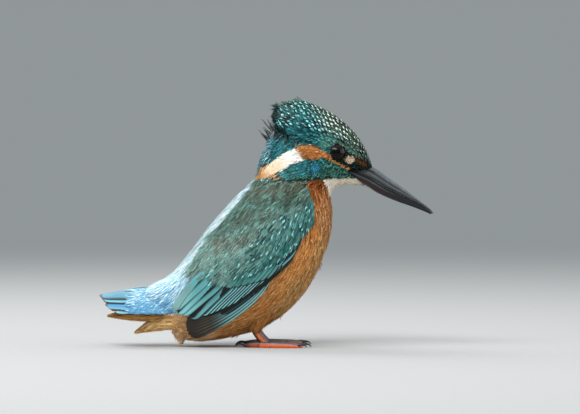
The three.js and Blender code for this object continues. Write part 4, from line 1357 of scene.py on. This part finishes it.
def tail_feathers():
    """Twelve feathers, the middle pair on top, with brown undersides."""
    rng = np.random.default_rng(31)
    c = TAIL_COLOURS
    a = np.linspace(0, 1, VANE_ALONG)[None, :, None]
    b = np.linspace(-1, 1, VANE_ACROSS)[None, None, :]
    edge_height, wide, tip_x, lit_from = (np.repeat(column, 2)[:, None, None] for column in zip(*TAIL_RANKS))
    side = np.tile([-1.0, 1.0], 6)[:, None, None]
    rank = np.repeat(np.arange(6), 2)[:, None, None]
    end = np.sqrt(np.clip(1 - (np.clip(a - 0.88, 0, 1) / 0.12) ** 2, 0.01, 1))
    x = mix(TAIL_ROOT_X, tip_x, a)
    edge = tail_share(x, edge_height + TAIL_RISE * a**2 * (rank > 0))
    x = x + 0 * b
    v = (edge - wide / 2 + wide / 2 * b * end) * side
    a, b = np.broadcast_to(a, x.shape), np.broadcast_to(b, x.shape)
    stripe = blend(c.stripe, c.line, smooth(b, 0.7, 0.9) * 0.8)
    colour = pick(rank == 0, blend(c.pale, c.blue, smooth(a, 0.3, 0.7)), pick(rank == 3, stripe, c.line))
    # Painted shadow: black inside each lit part, where the feather above covers it (all of the second and
    # fourth pairs), and along the middle pair's inner edge beyond its base; the very tips are black too.
    dark = smooth(b, lit_from, lit_from - 0.12)
    dark = np.maximum(dark, smooth(a, 0.955, 0.99) * 0.9)
    dark = np.maximum(dark, smooth(b, 0.76, 0.86) * (rank == 0) * smooth(a, 0.45, 0.6) * 0.95)
    above = blend(colour, c.black, dark)
    below = blend(c.brown, c.black, 0.5 * smooth(b, 0.3, -0.6))
    for coat, drop, tints in (
        (Coat("tail_upper", "flight", "plumage_cyan", ("tail",), (0.3, 1)), 0.0, above),
        (Coat("tail_under", "flight", "plumage_orange", (), (0, -1)), -0.3, below),
    ):
        height = 0.6 - 0.2 * rank - 0.15 * b**2 + drop
        points = tail_surface(np.stack([x, v], -1), height)
        add_vanes(coat, points, tints, a, b, np.full(12, 28.0), np.full(12, 4.0), rng)
        coat.build()


LOWEST_BLUE = 15.4  # how far down the sides of the tail's base the blue feathers hang
COVERT_TONE = ([-68, -60, -52, -44], [1, -1.2, -2.2, 0])  # by x, how much higher their colours come from


def tail_coverts():
    """Streaked blue feathers that lie over the tail's base and stream down its sides."""
    rng = np.random.default_rng(37)
    n = 900
    x = rng.uniform(-56, -43, n)
    z = mix(tail_height(x, 0 * x), 17.5, rng.uniform(0, 1, n) ** 1.2)
    away = rng.choice([-1.0, 1.0], n)
    long = rng.uniform(8.5, 12, n)
    rows = []
    for _ in range(LINE_STEPS):
        share = tail_share(x, z)
        rows.append(np.stack([x, share * away, z - tail_height(x, share)], -1))
        way = mix(np.array([-0.995, 0, -0.1]), streaming(x), smooth(share, 0.1, 0.45)[:, None])
        x = x + way[:, 0] * long / (LINE_STEPS - 1)
        z = np.maximum(z + way[:, 2] * long / (LINE_STEPS - 1), LOWEST_BLUE + rng.uniform(0, 0.6, n))
        z = np.minimum(z, tail_height(x, 0 * x))
    rows = np.stack(rows, 1)
    line = tail_surface(rows[..., :2], np.full(rows.shape[:2], COVERTS_ABOVE))
    near = tail_surface(rows[..., :2] + [0, 0.05], np.full(rows.shape[:2], COVERTS_ABOVE))
    across, forward = unit(near - line), unit(np.gradient(line, axis=1))
    normal = unit(np.cross(across, forward))
    normal = normal * np.where(normal[..., 2:] < 0, -1, 1)
    side = np.cross(normal, forward)

    def blues(points):
        tone = points[:, 2] + np.interp(points[:, 0], *COVERT_TONE)
        return Marks.plain(len(points), *streaked_blue(tone, rng.uniform(size=len(points))))

    marks = blues(line[:, NEAR_TIP])
    root = np.stack([(rows[:, 0, 1] + 1.2) / 2.4, (rows[:, 0, 0] + 62) / 20], -1)
    coat = Coat("tail_coverts", "silk", "plumage_cyan")
    plumes(coat, line, normal, side, long, np.full(n, 1.9), np.full(n, 0.9), rng.uniform(0.1, 0.5, n), marks,
           TRACTS["rump"], root, rng, lambda tips: blues(tips.reshape(-1, 3)))
    coat.build()


# Bundles of soft feathers round a tapering core: x, z along its middle, then its half depth and width.
BUNDLES = {
    "undertail_long": dict(
        node="undertail_coverts_long", line=[(-46, 15.0), (-57, 14.5), (-66, 14.6), (-74, 14.2)],
        depth=[3.2, 2.5, 1.8, 0.3], width=[7.4, 6.6, 4.4, 1.2], count=620, long=13, wide=1.5,
        colours=("a87436", "dca866", "6a4420"),
    ),
    "undertail_short": dict(
        node="undertail_coverts", line=[(-34, 12), (-45, 11.6), (-53, 9.8), (-61.5, 6.2)],
        depth=[5.4, 3.5, 2.7, 0.2], width=[9, 7, 4.2, 0.5], count=760, long=9, wide=1.8,
        colours=("f4b868", "ffe0a4", "b0743a"),
    ),
    "vent_tufts": dict(
        node="vent_tuft", line=[(-36.5, 16), (-39.2, 11), (-39.8, 6), (-39.0, 0.9)],
        depth=[3.2, 4.0, 2.9, 0.4], width=[7.4, 6.4, 4.0, 0.6], count=1100, long=6.0, wide=0.9,
        stray=0.3, strands=5, ends=0.6, colours=("fcc484", "ffe8c4", "b88048"),
    ),
}
THIGH = dict(
    line=[(2.5, 22), (-0.6, 16.6), (-3.6, 12), (-5.8, 7.2)],
    depth=[5.4, 4.6, 3.6, 1.8], width=[2.4, 3.2, 3.4, 2.4], count=760, long=8.5, wide=1.9,
    colours=("87562a", "b07a42", "6a421c"),
)


def bundle(name, spec, node=None, across=0.0, seed=41):
    """Ribbons that run down a tapering core, which lies across mm to the bird's left."""
    rng = np.random.default_rng(seed)
    n = spec["count"]
    centre, deep, broad = spline(spec["line"]), spline(spec["depth"]), spline(spec["width"])
    begin, ring = rng.uniform(0.0, 0.8, n), rng.uniform(-math.pi, math.pi, n)
    total = np.linalg.norm(np.diff(spec["line"], axis=0), axis=-1).sum()
    long = spec["long"] * rng.uniform(0.7, 1.1, n)
    ends = mix(spec.get("ends", 0.92), 1.0, rng.uniform(size=(n, 1)))
    steps = np.linspace(0, 1, LINE_STEPS)
    t = np.minimum(begin[:, None] + (long / total)[:, None] * steps, ends)
    t = t + np.linspace(0, 0.02, LINE_STEPS)
    loose = 1 + spec.get("stray", 0.12) * rng.normal(size=(n, 1)) * steps
    around = ring[:, None] + rng.normal(size=(n, 1)) * 0.25 * steps
    ahead = unit(centre(np.minimum(t + 0.01, 1)) - centre(t - 0.01))
    out_x, out_z = ahead[..., 1], -ahead[..., 0]
    reach = np.cos(around) * deep(t)[..., 0] * loose
    y = across + np.sin(around) * broad(t)[..., 0] * loose
    x, z = centre(t)[..., 0] + out_x * reach, centre(t)[..., 1] + out_z * reach
    line = np.stack([x + SHIFT[0], y, np.maximum(z, 0.5)], -1)
    normal = unit(np.stack([out_x * np.cos(around), np.sin(around), out_z * np.cos(around)], -1))
    side = np.cross(normal, unit(np.gradient(line, axis=1) + 1e-6))
    main, pale, odd = (rgb(code) for code in spec["colours"])
    marks = Marks.plain(n, main * rng.uniform(0.85, 1.1, (n, 1)), mix(main, pale, 0.6),
                        np.where(rng.uniform(size=(n, 1)) < 0.5, pale, odd), 0.35)
    wide = spec["wide"] * (1 - 0.6 * begin)
    look = dict(strands=spec.get("strands", 9), thick=0.6, root=0.8, contrast=0.25, ragged=0.45)
    coat = Coat(name, "down", "plumage_orange", (node,) if node else ())
    plumes(coat, line, normal, side, long, wide, np.full(n, 0.35), rng.uniform(0, 0.35, n), marks, look,
           np.stack([ring / 6.3 + 0.5, begin], -1), rng)
    for points in coat.points:
        points[..., 2] = np.maximum(points[..., 2], 0.3)
    coat.build()


# ------------------------------------------------------------------ skin

def skin():
    """One closed skin under the body's plumage, raised as lids round the eyes and let in at the gape."""
    rows, columns = 260, 180
    u = np.linspace(0, 1, rows)[:, None] + np.zeros(columns)
    angle = np.linspace(-math.pi, math.pi, columns, endpoint=False) + np.zeros((rows, 1))
    point, normal, _, _ = body_frame(u, angle)
    depth = np.array([TRACTS[name]["depth"] for name in TRACT_NAMES])[tract(point, u, angle)]
    x, _, z = side_view(point)
    depth[inside(np.stack([x, z], -1), GAPE) & (u > place("hindneck"))] = 2.6
    for _ in range(5):
        depth = (np.roll(depth, 1, 1) + np.roll(depth, -1, 1) + 2 * depth) / 4
        depth[1:-1] = (depth[:-2] + depth[2:] + 2 * depth[1:-1]) / 4
    under = point - normal * depth[..., None]
    gap = np.linalg.norm(np.abs(under) - EYE, axis=-1)
    lid = np.exp(-(((gap - EYE_RADIUS - 0.2) / 0.45) ** 2))
    under = under + normal * (lid * (0.55 + 0.08 * np.sin(gap * 14)))[..., None]
    marks = markings(point.reshape(-1, 3), u.ravel(), angle.ravel(), np.random.default_rng(2))
    # Painted shade: the skin takes the plumage's colours at 0.6, as the shade in the gaps between feathers.
    tint = mix(marks.main * 0.6, COLOURS.black, lid.reshape(-1, 1) * 0.9)
    vane = np.stack([angle * 20, u * 150, 0 * u], -1).reshape(-1, 3)
    ends = [0, (rows - 1) * columns]
    points = np.concatenate([under.reshape(-1, 3), [under[0].mean(0), under[-1].mean(0)]])
    obj = mesh_object("skin", points, capped_faces(rows, columns), MATERIALS["skin"])
    attribute(obj, "tint", np.concatenate([tint, tint[ends]]))
    attribute(obj, "vane", np.concatenate([vane, vane[ends]]))
    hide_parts("head", "neck", "trunk", "rump", "thigh_right", "thigh_left")


# ------------------------------------------------------------------ eyes and bill

EYE_BACK = 0.75  # how far the ball's visible cap is set back, mm
EYE_BLACK, IRIS = rgb("020202"), rgb("120906")


def eyes():
    """A wet, nearly black eye with a dark brown iris round the pupil, on each side."""
    rows, columns = 48, 72
    polar = np.linspace(0, math.pi, rows)[:, None] + np.zeros(columns)
    ring = np.linspace(0, 2 * math.pi, columns, endpoint=False) + np.zeros((rows, 1))
    for side, label in LABELS.items():
        out = np.sin(polar)
        ball = np.stack([out * np.cos(ring), np.cos(polar) * side, out * np.sin(ring)], -1)
        points = (EYE - [EYE_BACK, 0, 0]) * [1, side, 1] + ball * EYE_RADIUS
        iris = smooth(polar, 0.42, 0.47) * smooth(polar, 0.95, 0.8)
        colour = blend(EYE_BLACK, IRIS, iris)
        faces = grid_faces(rows, columns)
        faces = faces[:, ::-1] if side < 0 else faces
        obj = mesh_object(f"eyeball_{label}", points.reshape(-1, 3), faces, MATERIALS["eye"])
        attribute(obj, "tint", colour.reshape(-1, 3))
        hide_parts(f"eye_{label}")


BILL = {
    "culmen": [(39.5, 85.2), (49.5, 83.6), (57.3, 78.4), (64.4, 73.4), (71.6, 68), (76.6, 64), (78.2, 61.9)],
    "cut": [(38.6, 82.2), (48, 78.6), (56.5, 73.6), (62.3, 71), (68, 68.4), (73.4, 65.6), (77.6, 62.1)],
    "keel": [(39.0, 79.4), (47.6, 74.2), (53, 71), (60.8, 67.7), (68, 65.2), (73.4, 63.1), (76.6, 61.7)],
    "half": [7.7, 5.6, 3.9, 2.9, 2.0, 1.1, 0.35],
}
NOSTRIL = (49.0, 81.7)  # x and z of its middle
NOSTRIL_SLOPE, NOSTRIL_REACH, NOSTRIL_HIGH, NOSTRIL_DEEP = 0.44, 1.9, 0.42, 0.8
# The ridge, groove and pale keel colours are painted highlights; lip is painted shade along the cut.
BILL_COLOURS = palette(
    horn="15191a", ridge="5e656a", flank="3c4244", groove="787e80", slit="2a0f08", keel_pale="63666a",
    keel_brown="42200f", keel_dark="070808", lip="030303",
)
BILL_TONE = 0.78  # how bright its colours are
GROOVE = 0.42  # where the side groove of the upper half runs, 0 at the cut and 1 at the ridge


def bill():
    """Two halves of horn that close along the cut: a ridge, side grooves, a nostril slit, a brown keel. The
    pale lines on the ridge, the grooves and the keel are painted highlights, and the black along the cut is
    painted shade.
    """
    c = BILL_COLOURS
    rows, columns = 110, 56
    t = np.linspace(0, 1, rows)
    cut, half = spline(BILL["cut"])(t), spline(BILL["half"])(t)[:, 0]
    ring = np.linspace(0, math.pi, columns)
    for name, edge in (("bill_upper", "culmen"), ("bill_lower", "keel")):
        upper = name == "bill_upper"
        reach = spline(BILL[edge])(t) - cut
        long = np.linalg.norm(reach, axis=-1)
        way = reach / long[:, None]
        share = np.sin(ring).clip(0)[None] ** (1.15 if upper else 1.0) + 0 * t[:, None]
        rise = share * long[:, None] + 0.05
        boxy = np.sign(np.cos(ring)) * np.abs(np.cos(ring)) ** 0.72
        groove = np.exp(-(((share - GROOVE) / 0.07) ** 2)) * smooth(t, 0.95, 0.6)[:, None]
        lip = np.exp(-((share / 0.14) ** 2))
        y = boxy * half[:, None] * (1 - 0.07 * groove * upper + 0.05 * lip)
        x = cut[:, :1] + way[:, :1] * rise
        z = cut[:, 1:] + way[:, 1:] * rise
        base = smooth(x, 63, 50)
        colour = np.broadcast_to(c.horn, x.shape + (3,))
        if upper:
            slope = (x - NOSTRIL[0]) * NOSTRIL_SLOPE + (z - NOSTRIL[1])
            slit = np.exp(-(((x - NOSTRIL[0]) / NOSTRIL_REACH) ** 2) - (slope / NOSTRIL_HIGH) ** 2)
            y = y - np.sign(y) * NOSTRIL_DEEP * slit
            # Painted reflection of the light from above: the paler upper ridge.
            colour = blend(colour, c.ridge, smooth(share, 0.5, 0.8))
            colour = blend(colour, c.flank, smooth(share, 0.12, 0.2) * smooth(share, 0.38, 0.3))
            # Painted highlight: a pale line along the side groove.
            colour = blend(colour, c.groove, groove * 0.55)
            colour = blend(colour, c.slit, slit)
        else:
            # Painted highlight: a pale line low on the lower half, near its base.
            colour = blend(colour, c.keel_pale, base * np.exp(-(((share - 0.27) / 0.08) ** 2)) * 0.8)
            colour = blend(colour, c.keel_brown, base * smooth(share, 0.4, 0.65) * 0.7)
            colour = blend(colour, c.keel_dark, smooth(share, 0.75, 0.95) * 0.9)
        # Painted shade: black in the crease along the cut, where the halves close.
        colour = blend(colour, c.lip, lip * 0.95)
        faces = grid_faces(rows, columns)
        faces = faces if upper else faces[:, ::-1]
        points = np.stack([x + SHIFT[0], y, z], -1)
        obj = mesh_object(f"{name}_horn", points.reshape(-1, 3), faces, MATERIALS["bill"])
        attribute(obj, "tint", BILL_TONE * colour.reshape(-1, 3))
        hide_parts(name)


# ------------------------------------------------------------------ legs

# Places along the limbs are x and z for the shin, and x and y from the leg's own middle for the toes.
LEG_APART = 8.4  # how far each leg stands from the middle plane, mm
TARSUS = dict(line=[(-7.0, 12.5), (-5.0, 8.2), (-2.2, 4.2), (0.6, 1.7)], radius=[2.1, 1.9, 1.8, 1.5])
TOES = {
    "middle": dict(line=[(-2.2, 0), (6, 0.4), (12, 0.7), (17, 0.8)], radius=[1.8, 1.65, 1.5, 1.15], claw=4.1),
    "outer": dict(
        line=[(-2.6, 1.4), (5.5, 3.1), (11, 3.7), (15.2, 4.3)], radius=[1.6, 1.5, 1.35, 1], claw=3.9),
    "inner": dict(line=[(-0.4, -2.2), (4.5, -3.3), (8.6, -4.6)], radius=[1.55, 1.35, 1.05], claw=3.4),
    "hallux": dict(line=[(-0.8, -0.2), (-6.6, -0.8), (-10.4, -1.3)], radius=[1.75, 1.5, 1.15], claw=4),
}
SOLE_FLAT = 0.3  # how much of its radius a toe's flat sole takes away
SCUTE, PAD = 0.95, 2.6  # lengths of the scales above and the pads below, mm
CLAW_ROOT = 0.9  # how far a claw reaches back into its toe, mm
FOOT_COLOURS = palette(
    sole="ea6418", mauve="96706c", slate="4c4648", joint="221b1c", hallux="1a1516", shin_side="d8702e",
    shin_front="664a4e", shin_rear="2a1412", shin_joint="2a1a18", claw="120f0e", claw_root="3a302a",
)


def limb(name, path, radius, rows, columns, paint, material, node, scutes=0.0):
    """A round, tapering solid along a path and above the floor, with scales above and rows of pads below."""
    t = np.linspace(0, 1, rows)
    centre = path(t)
    ahead = unit(np.gradient(centre, axis=0))
    side = unit(np.cross(UP, ahead))
    up = np.cross(ahead, side)
    ring = np.linspace(-math.pi, math.pi, columns, endpoint=False)[None]
    length = np.concatenate([[0], np.cumsum(np.linalg.norm(np.diff(centre, axis=0), axis=-1))])[:, None]
    scale = np.abs(np.sin(math.pi * length / SCUTE)) ** 0.6 - 0.5 + 0 * ring
    pads = np.abs(np.sin(math.pi * length / PAD)) ** 0.5 - 0.6
    grain = 0.35 * np.sin(length * 8 + 2 * np.sin(9 * ring)) * np.cos(7 * ring)
    top = smooth(np.cos(ring), -0.2, 0.5)
    bulge = 1 + scutes * (scale * top + (pads + grain) * (1 - top) * 0.8)
    cap = np.sqrt(np.clip(1 - (np.clip(t - 0.93, 0, 1) / 0.07) ** 2, 0.03, 1))[:, None]
    r = radius(t)[:, :1] * bulge * cap
    points = centre[:, None] + side[:, None] * (np.sin(ring) * r)[..., None]
    points = points + up[:, None] * (np.cos(ring) * r)[..., None]
    points[..., 2] = np.maximum(points[..., 2], 0.0)
    colour = paint(t[:, None] + 0 * ring, ring + 0 * t[:, None], scale)
    ends = [points[0].mean(0), points[-1].mean(0)]
    points = np.concatenate([points.reshape(-1, 3), ends])
    obj = mesh_object(name, points, capped_faces(rows, columns), MATERIALS[material])
    attribute(obj, "tint", np.concatenate([colour.reshape(-1, 3), colour[0, :1], colour[-1, :1]]))
    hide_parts(node)


def toe_paint(t, ring, scale):
    """Slate scales above mauve sides and an orange-red sole."""
    c, height = FOOT_COLOURS, np.cos(ring)
    colour = blend(c.sole, c.mauve, smooth(height, 0.05, 0.4))
    colour = blend(colour, c.slate, smooth(height, 0.55, 0.9))
    joint = smooth(scale, 0.1, -0.45) * mix(0.25, 0.6, smooth(height, -0.3, 0.5))
    return blend(colour, c.joint, joint)


def hallux_paint(t, ring, scale):
    return blend(toe_paint(t, ring, scale), FOOT_COLOURS.hallux, 0.35 + 0.6 * smooth(t, 0.3, 0.9))


def shin_paint(t, ring, scale):
    """Dusky in front, orange along the outside and nearly black behind."""
    c, front = FOOT_COLOURS, np.cos(ring)
    colour = blend(c.shin_side, c.shin_front, smooth(front, 0.1, 0.5))
    colour = blend(colour, c.shin_rear, smooth(front, -0.25, -0.7))
    return blend(colour, c.shin_joint, smooth(scale, 0.1, -0.45) * 0.3)


def claw_paint(t, ring, scale):
    return blend(FOOT_COLOURS.claw, FOOT_COLOURS.claw_root, smooth(t, 0.25, 0.0) * 0.6)


def legs():
    for side, label in LABELS.items():
        line, radius = spline(TARSUS["line"]), spline(TARSUS["radius"])

        def shin(t):
            xz = line(t)
            return np.stack([xz[:, 0] + SHIFT[0], np.full(len(t), side * LEG_APART), xz[:, 1]], -1)

        limb(f"shin_{label}", shin, radius, 60, 32, shin_paint, "scute", f"tarsus_{label}", 0.07)
        for toe, spec in TOES.items():
            toe_line, toe_radius = spline(spec["line"]), spline(spec["radius"])

            def path(t):
                xy, r = toe_line(t), toe_radius(t)[:, 0]
                return np.stack([xy[:, 0] + SHIFT[0], side * (LEG_APART + xy[:, 1]), r * (1 - SOLE_FLAT)], -1)

            paint = hallux_paint if toe == "hallux" else toe_paint
            limb(f"digit_{toe}_{label}", path, toe_radius, 110, 36, paint, "scute",
                 f"toe_{toe}_{label}", 0.1)
            end = path(np.array([0.97, 1.0]))
            ahead = unit((end[1] - end[0]) * [1, 1, 0])
            reach = spec["claw"]

            def arch(t):
                flat = end[1] + ahead * (-CLAW_ROOT + t * (reach + CLAW_ROOT))[:, None]
                return np.stack([flat[:, 0], flat[:, 1], 1.05 + 2 * t - 2.75 * t**3.2], -1)

            limb(f"nail_{toe}_{label}", arch, lambda t: mix(0.95, 0.2, t**0.8)[:, None], 30, 18, claw_paint,
                 "claw", f"claw_{toe}_{label}")


# Loose hairs that stand out from the outline: their roots lie between the start and the end, as x and z,
# and apart mm to each side; their tips are about out from them, give or take spread.
LOOSE = {
    "crest_wisps": dict(start=(0.6, 95), end=(4.8, 101), out=(-4.6, 5.0), spread=0.9, apart=2.0,
                        count=26, wide=0.34, colours=("141c1e", "2c383a")),
    "crest_rear": dict(start=(5.2, 99.5), end=(5.8, 111.4), out=(-2.8, 1.2), spread=0.8, apart=4.0,
                       count=90, wide=0.4, colours=("0c1c1a", "3a5a56")),
    "crest_ridge": dict(start=(6, 111), end=(17, 113.6), out=(-2.6, 0.9), spread=0.6, apart=3.0,
                        count=90, wide=0.45, colours=("17261f", "7f9d90")),
    "nape_hairs": dict(start=(0.2, 81), end=(4, 98), out=(-3.4, -1.8), spread=0.8, apart=3.6,
                       count=160, wide=0.42, colours=("0e4a54", "8fd0e2")),
    "belly_fringe": dict(start=(26, 41), end=(6.5, 15.5), out=(-0.6, -4.2), spread=0.8, apart=2.6,
                         count=200, wide=0.6, colours=("7e5428", "cca070")),
    "leg_fringe": dict(start=(3.5, 13), end=(-14, 6), out=(-2.8, -2.6), spread=0.8, apart=4.6,
                       count=170, wide=0.6, colours=("7a5026", "c09058")),
    "vent_fringe": dict(start=(-42.4, 10), end=(-38.8, 3), out=(-1.4, -3.2), spread=0.8, apart=2.0,
                        count=190, wide=0.5, free=2.6, colours=("d8a86c", "ffe4bc")),
}
BLUE_HAIRS = ("crest_wisps", "crest_rear", "crest_ridge", "nape_hairs")
LOOSE_FLOOR = 0.8  # how close to the floor their middles may come, mm


def loose_hairs(name, spec, seed):
    rng = np.random.default_rng(seed)
    n = spec["count"]
    share = rng.uniform(size=(n, 1))
    first, last = np.array(spec["start"], float), np.array(spec["end"], float)
    xz = mix(first, last, share) + rng.normal(size=(n, 2)) * 0.4
    reach = np.maximum(0.8 * half_width(xz[:, 0] + SHIFT[0], xz[:, 1]), spec.get("free", 0.3))
    start = np.stack([xz[:, 0], np.clip(rng.normal(size=n) * spec["apart"], -reach, reach), xz[:, 1]], -1)
    out = np.array([spec["out"][0], 0, spec["out"][1]]) * rng.uniform(0.5, 1.3, (n, 1))
    end = start + out + rng.normal(size=(n, 3)) * spec["spread"]
    steps = np.linspace(0, 1, LINE_STEPS)[None, :, None]
    line = mix(start[:, None], end[:, None], steps)
    line[..., 2] += 0.8 * (4 * steps * (1 - steps))[..., 0]
    line[..., 2] = np.maximum(line[..., 2], LOOSE_FLOOR)
    normal = np.broadcast_to([0.0, 1.0, 0.0], line.shape)
    side = np.cross(normal, unit(np.gradient(line, axis=1)))
    dark, pale = (rgb(code) for code in spec["colours"])
    main = mix(dark, pale, rng.uniform(0, 0.6, (n, 1)))
    marks = Marks.plain(n, main, mix(dark, pale, rng.uniform(size=(n, 1))))
    long = np.linalg.norm(end - start, axis=-1)
    blue = name in BLUE_HAIRS
    material, slot = ("sheen", "plumage_blue") if blue else ("down", "plumage_orange")
    coat = Coat(name, material, slot, toward=(1, 0))
    look = dict(strands=2, thick=0.45, root=1.0, contrast=0.15)
    plumes(coat, line + SHIFT, normal, side, long, np.full(n, spec["wide"]), np.zeros(n), np.zeros(n), marks,
           look, np.stack([np.linspace(0, 1, n), np.full(n, 0.5)], -1), rng)
    coat.build()


# ------------------------------------------------------------------ stage

PHOTO_WIDTH_MM = 580 * 0.466  # what the picture's width spans at the bird
VIEW_CENTRE = np.array([11.0, 0.0, 65.0])  # what the camera looks at, mm
CAMERA_DISTANCE = 1600.0  # mm
CAMERA_RISE = math.radians(1.6)  # how far it looks down
SENSOR = 36  # width, mm
CLIP = (0.05, 60)  # metres
FLOOR_REACH = 8.0  # half the floor's width, metres
FLOOR_TONE = (0.37, 0.4)  # its darkest and palest grain
FLOOR_FADE = (0.15, 1.3)  # how far out it begins and ends to fade, metres
# The lights' places, widths, heights and what they point at in metres, and their power in watts.
LIGHTS = [
    ("key", (-0.45, -0.64, 1.1), 1.25, 0.42, 21.0),
    ("fill", (1.5, -0.1, 0.12), 1.9, 1.9, 26.0),
    ("rim", (-0.5, 0.5, 0.85), 0.5, 0.5, 5.0),
]
LIGHTS_AIM = (0, 0, 0.06)
BACKGROUND = (0.285, 0.312, 0.32)
SKY = (0.92, 0.97, 1.0)  # overhead
SKY_RISE = (0.25, 0.95)  # the heights, 0 at the horizon and 1 overhead, between which it brightens


def floor_material():
    """Pale matt paper that fades into the background with distance from the bird."""
    material, nodes, shader = bare_material("floor_paper", 0.9, 0.1)
    where = nodes.add("TexCoord").outputs["Object"]
    grain = nodes.add("TexNoise", {"Vector": where, "Scale": 300.0}).outputs["Fac"]
    nodes.feed(shader, {"Base Color": nodes.ranged(grain, *FLOOR_TONE, 0.0, 1.0)})
    away = nodes.add("VectorMath", {0: where}, operation="LENGTH").outputs["Value"]
    span = {"Value": away, "From Min": FLOOR_FADE[0], "From Max": FLOOR_FADE[1]}
    fade = nodes.add("MapRange", span, interpolation_type="SMOOTHSTEP").outputs["Result"]
    glow = nodes.add("Emission", {"Color": (*BACKGROUND, 1)}).outputs["Emission"]
    both = nodes.add("MixShader", {"Fac": fade, 1: shader.outputs["BSDF"], 2: glow}).outputs["Shader"]
    nodes.feed(nodes["Material Output"], {"Surface": both})
    return material


def sky():
    """Grey as the background below, and bright overhead."""
    world = bpy.data.worlds.new("studio")
    nodes = Nodes(world)
    way = nodes.add("TexCoord").outputs["Generated"]
    height = nodes.add("SeparateXYZ", {0: way}).outputs["Z"]
    climb = nodes.ranged(height, 0.0, 1.0, *SKY_RISE)
    tones = {"Fac": climb, "Color1": (*BACKGROUND, 1), "Color2": (*SKY, 1)}
    colour = nodes.add("MixRGB", tones).outputs["Color"]
    nodes.feed(nodes["Background"], {"Color": colour, "Strength": 1.0})
    bpy.context.scene.world = world


def aim(obj, at, target):
    obj.location = at
    obj.rotation_euler = (Vector(target) - Vector(at)).to_track_quat("-Z", "Y").to_euler()


def stage():
    mesh = bpy.data.meshes.new("floor")
    corners = [(-1, -1), (1, -1), (1, 1), (-1, 1)]
    mesh.from_pydata([(x * FLOOR_REACH, y * FLOOR_REACH, 0) for x, y in corners], [], [(0, 1, 2, 3)])
    mesh.materials.append(floor_material())
    add_object("floor", mesh)
    sky()
    for name, at, wide, tall, power in LIGHTS:
        light = bpy.data.lights.new(name, "AREA")
        light.energy = power
        light.shape = "RECTANGLE"
        light.size, light.size_y = wide, tall
        aim(add_object(name, light), at, LIGHTS_AIM)
    lens = bpy.data.cameras.new("camera")
    lens.sensor_width = SENSOR
    lens.lens = SENSOR * CAMERA_DISTANCE / PHOTO_WIDTH_MM
    lens.clip_start, lens.clip_end = CLIP
    camera = add_object("camera", lens)
    centre = Vector(VIEW_CENTRE * MM)
    away = Vector((0, -math.cos(CAMERA_RISE), math.sin(CAMERA_RISE))) * (CAMERA_DISTANCE * MM)
    aim(camera, centre + away, centre)
    bpy.context.scene.camera = camera
    bpy.context.scene.view_settings.view_transform = "Standard"


stage()
skin()
body_plumage()
for wing_side in LABELS:
    flight_feathers(wing_side, np.random.default_rng(11 + wing_side))
    covert_rows(wing_side, np.random.default_rng(21 + wing_side))
    scapulars(wing_side, np.random.default_rng(31 + wing_side))
tail_feathers()
tail_coverts()
for bundle_name, bundle_spec in BUNDLES.items():
    bundle(bundle_name, bundle_spec, bundle_spec["node"])
for thigh_side, thigh_label in LABELS.items():
    bundle(f"thigh_tufts_{thigh_label}", THIGH, across=thigh_side * 8.8, seed=43 + thigh_side)
for loose_seed, (loose_name, loose_spec) in enumerate(LOOSE.items(), 51):
    loose_hairs(loose_name, loose_spec, loose_seed)
eyes()
bill()
legs()
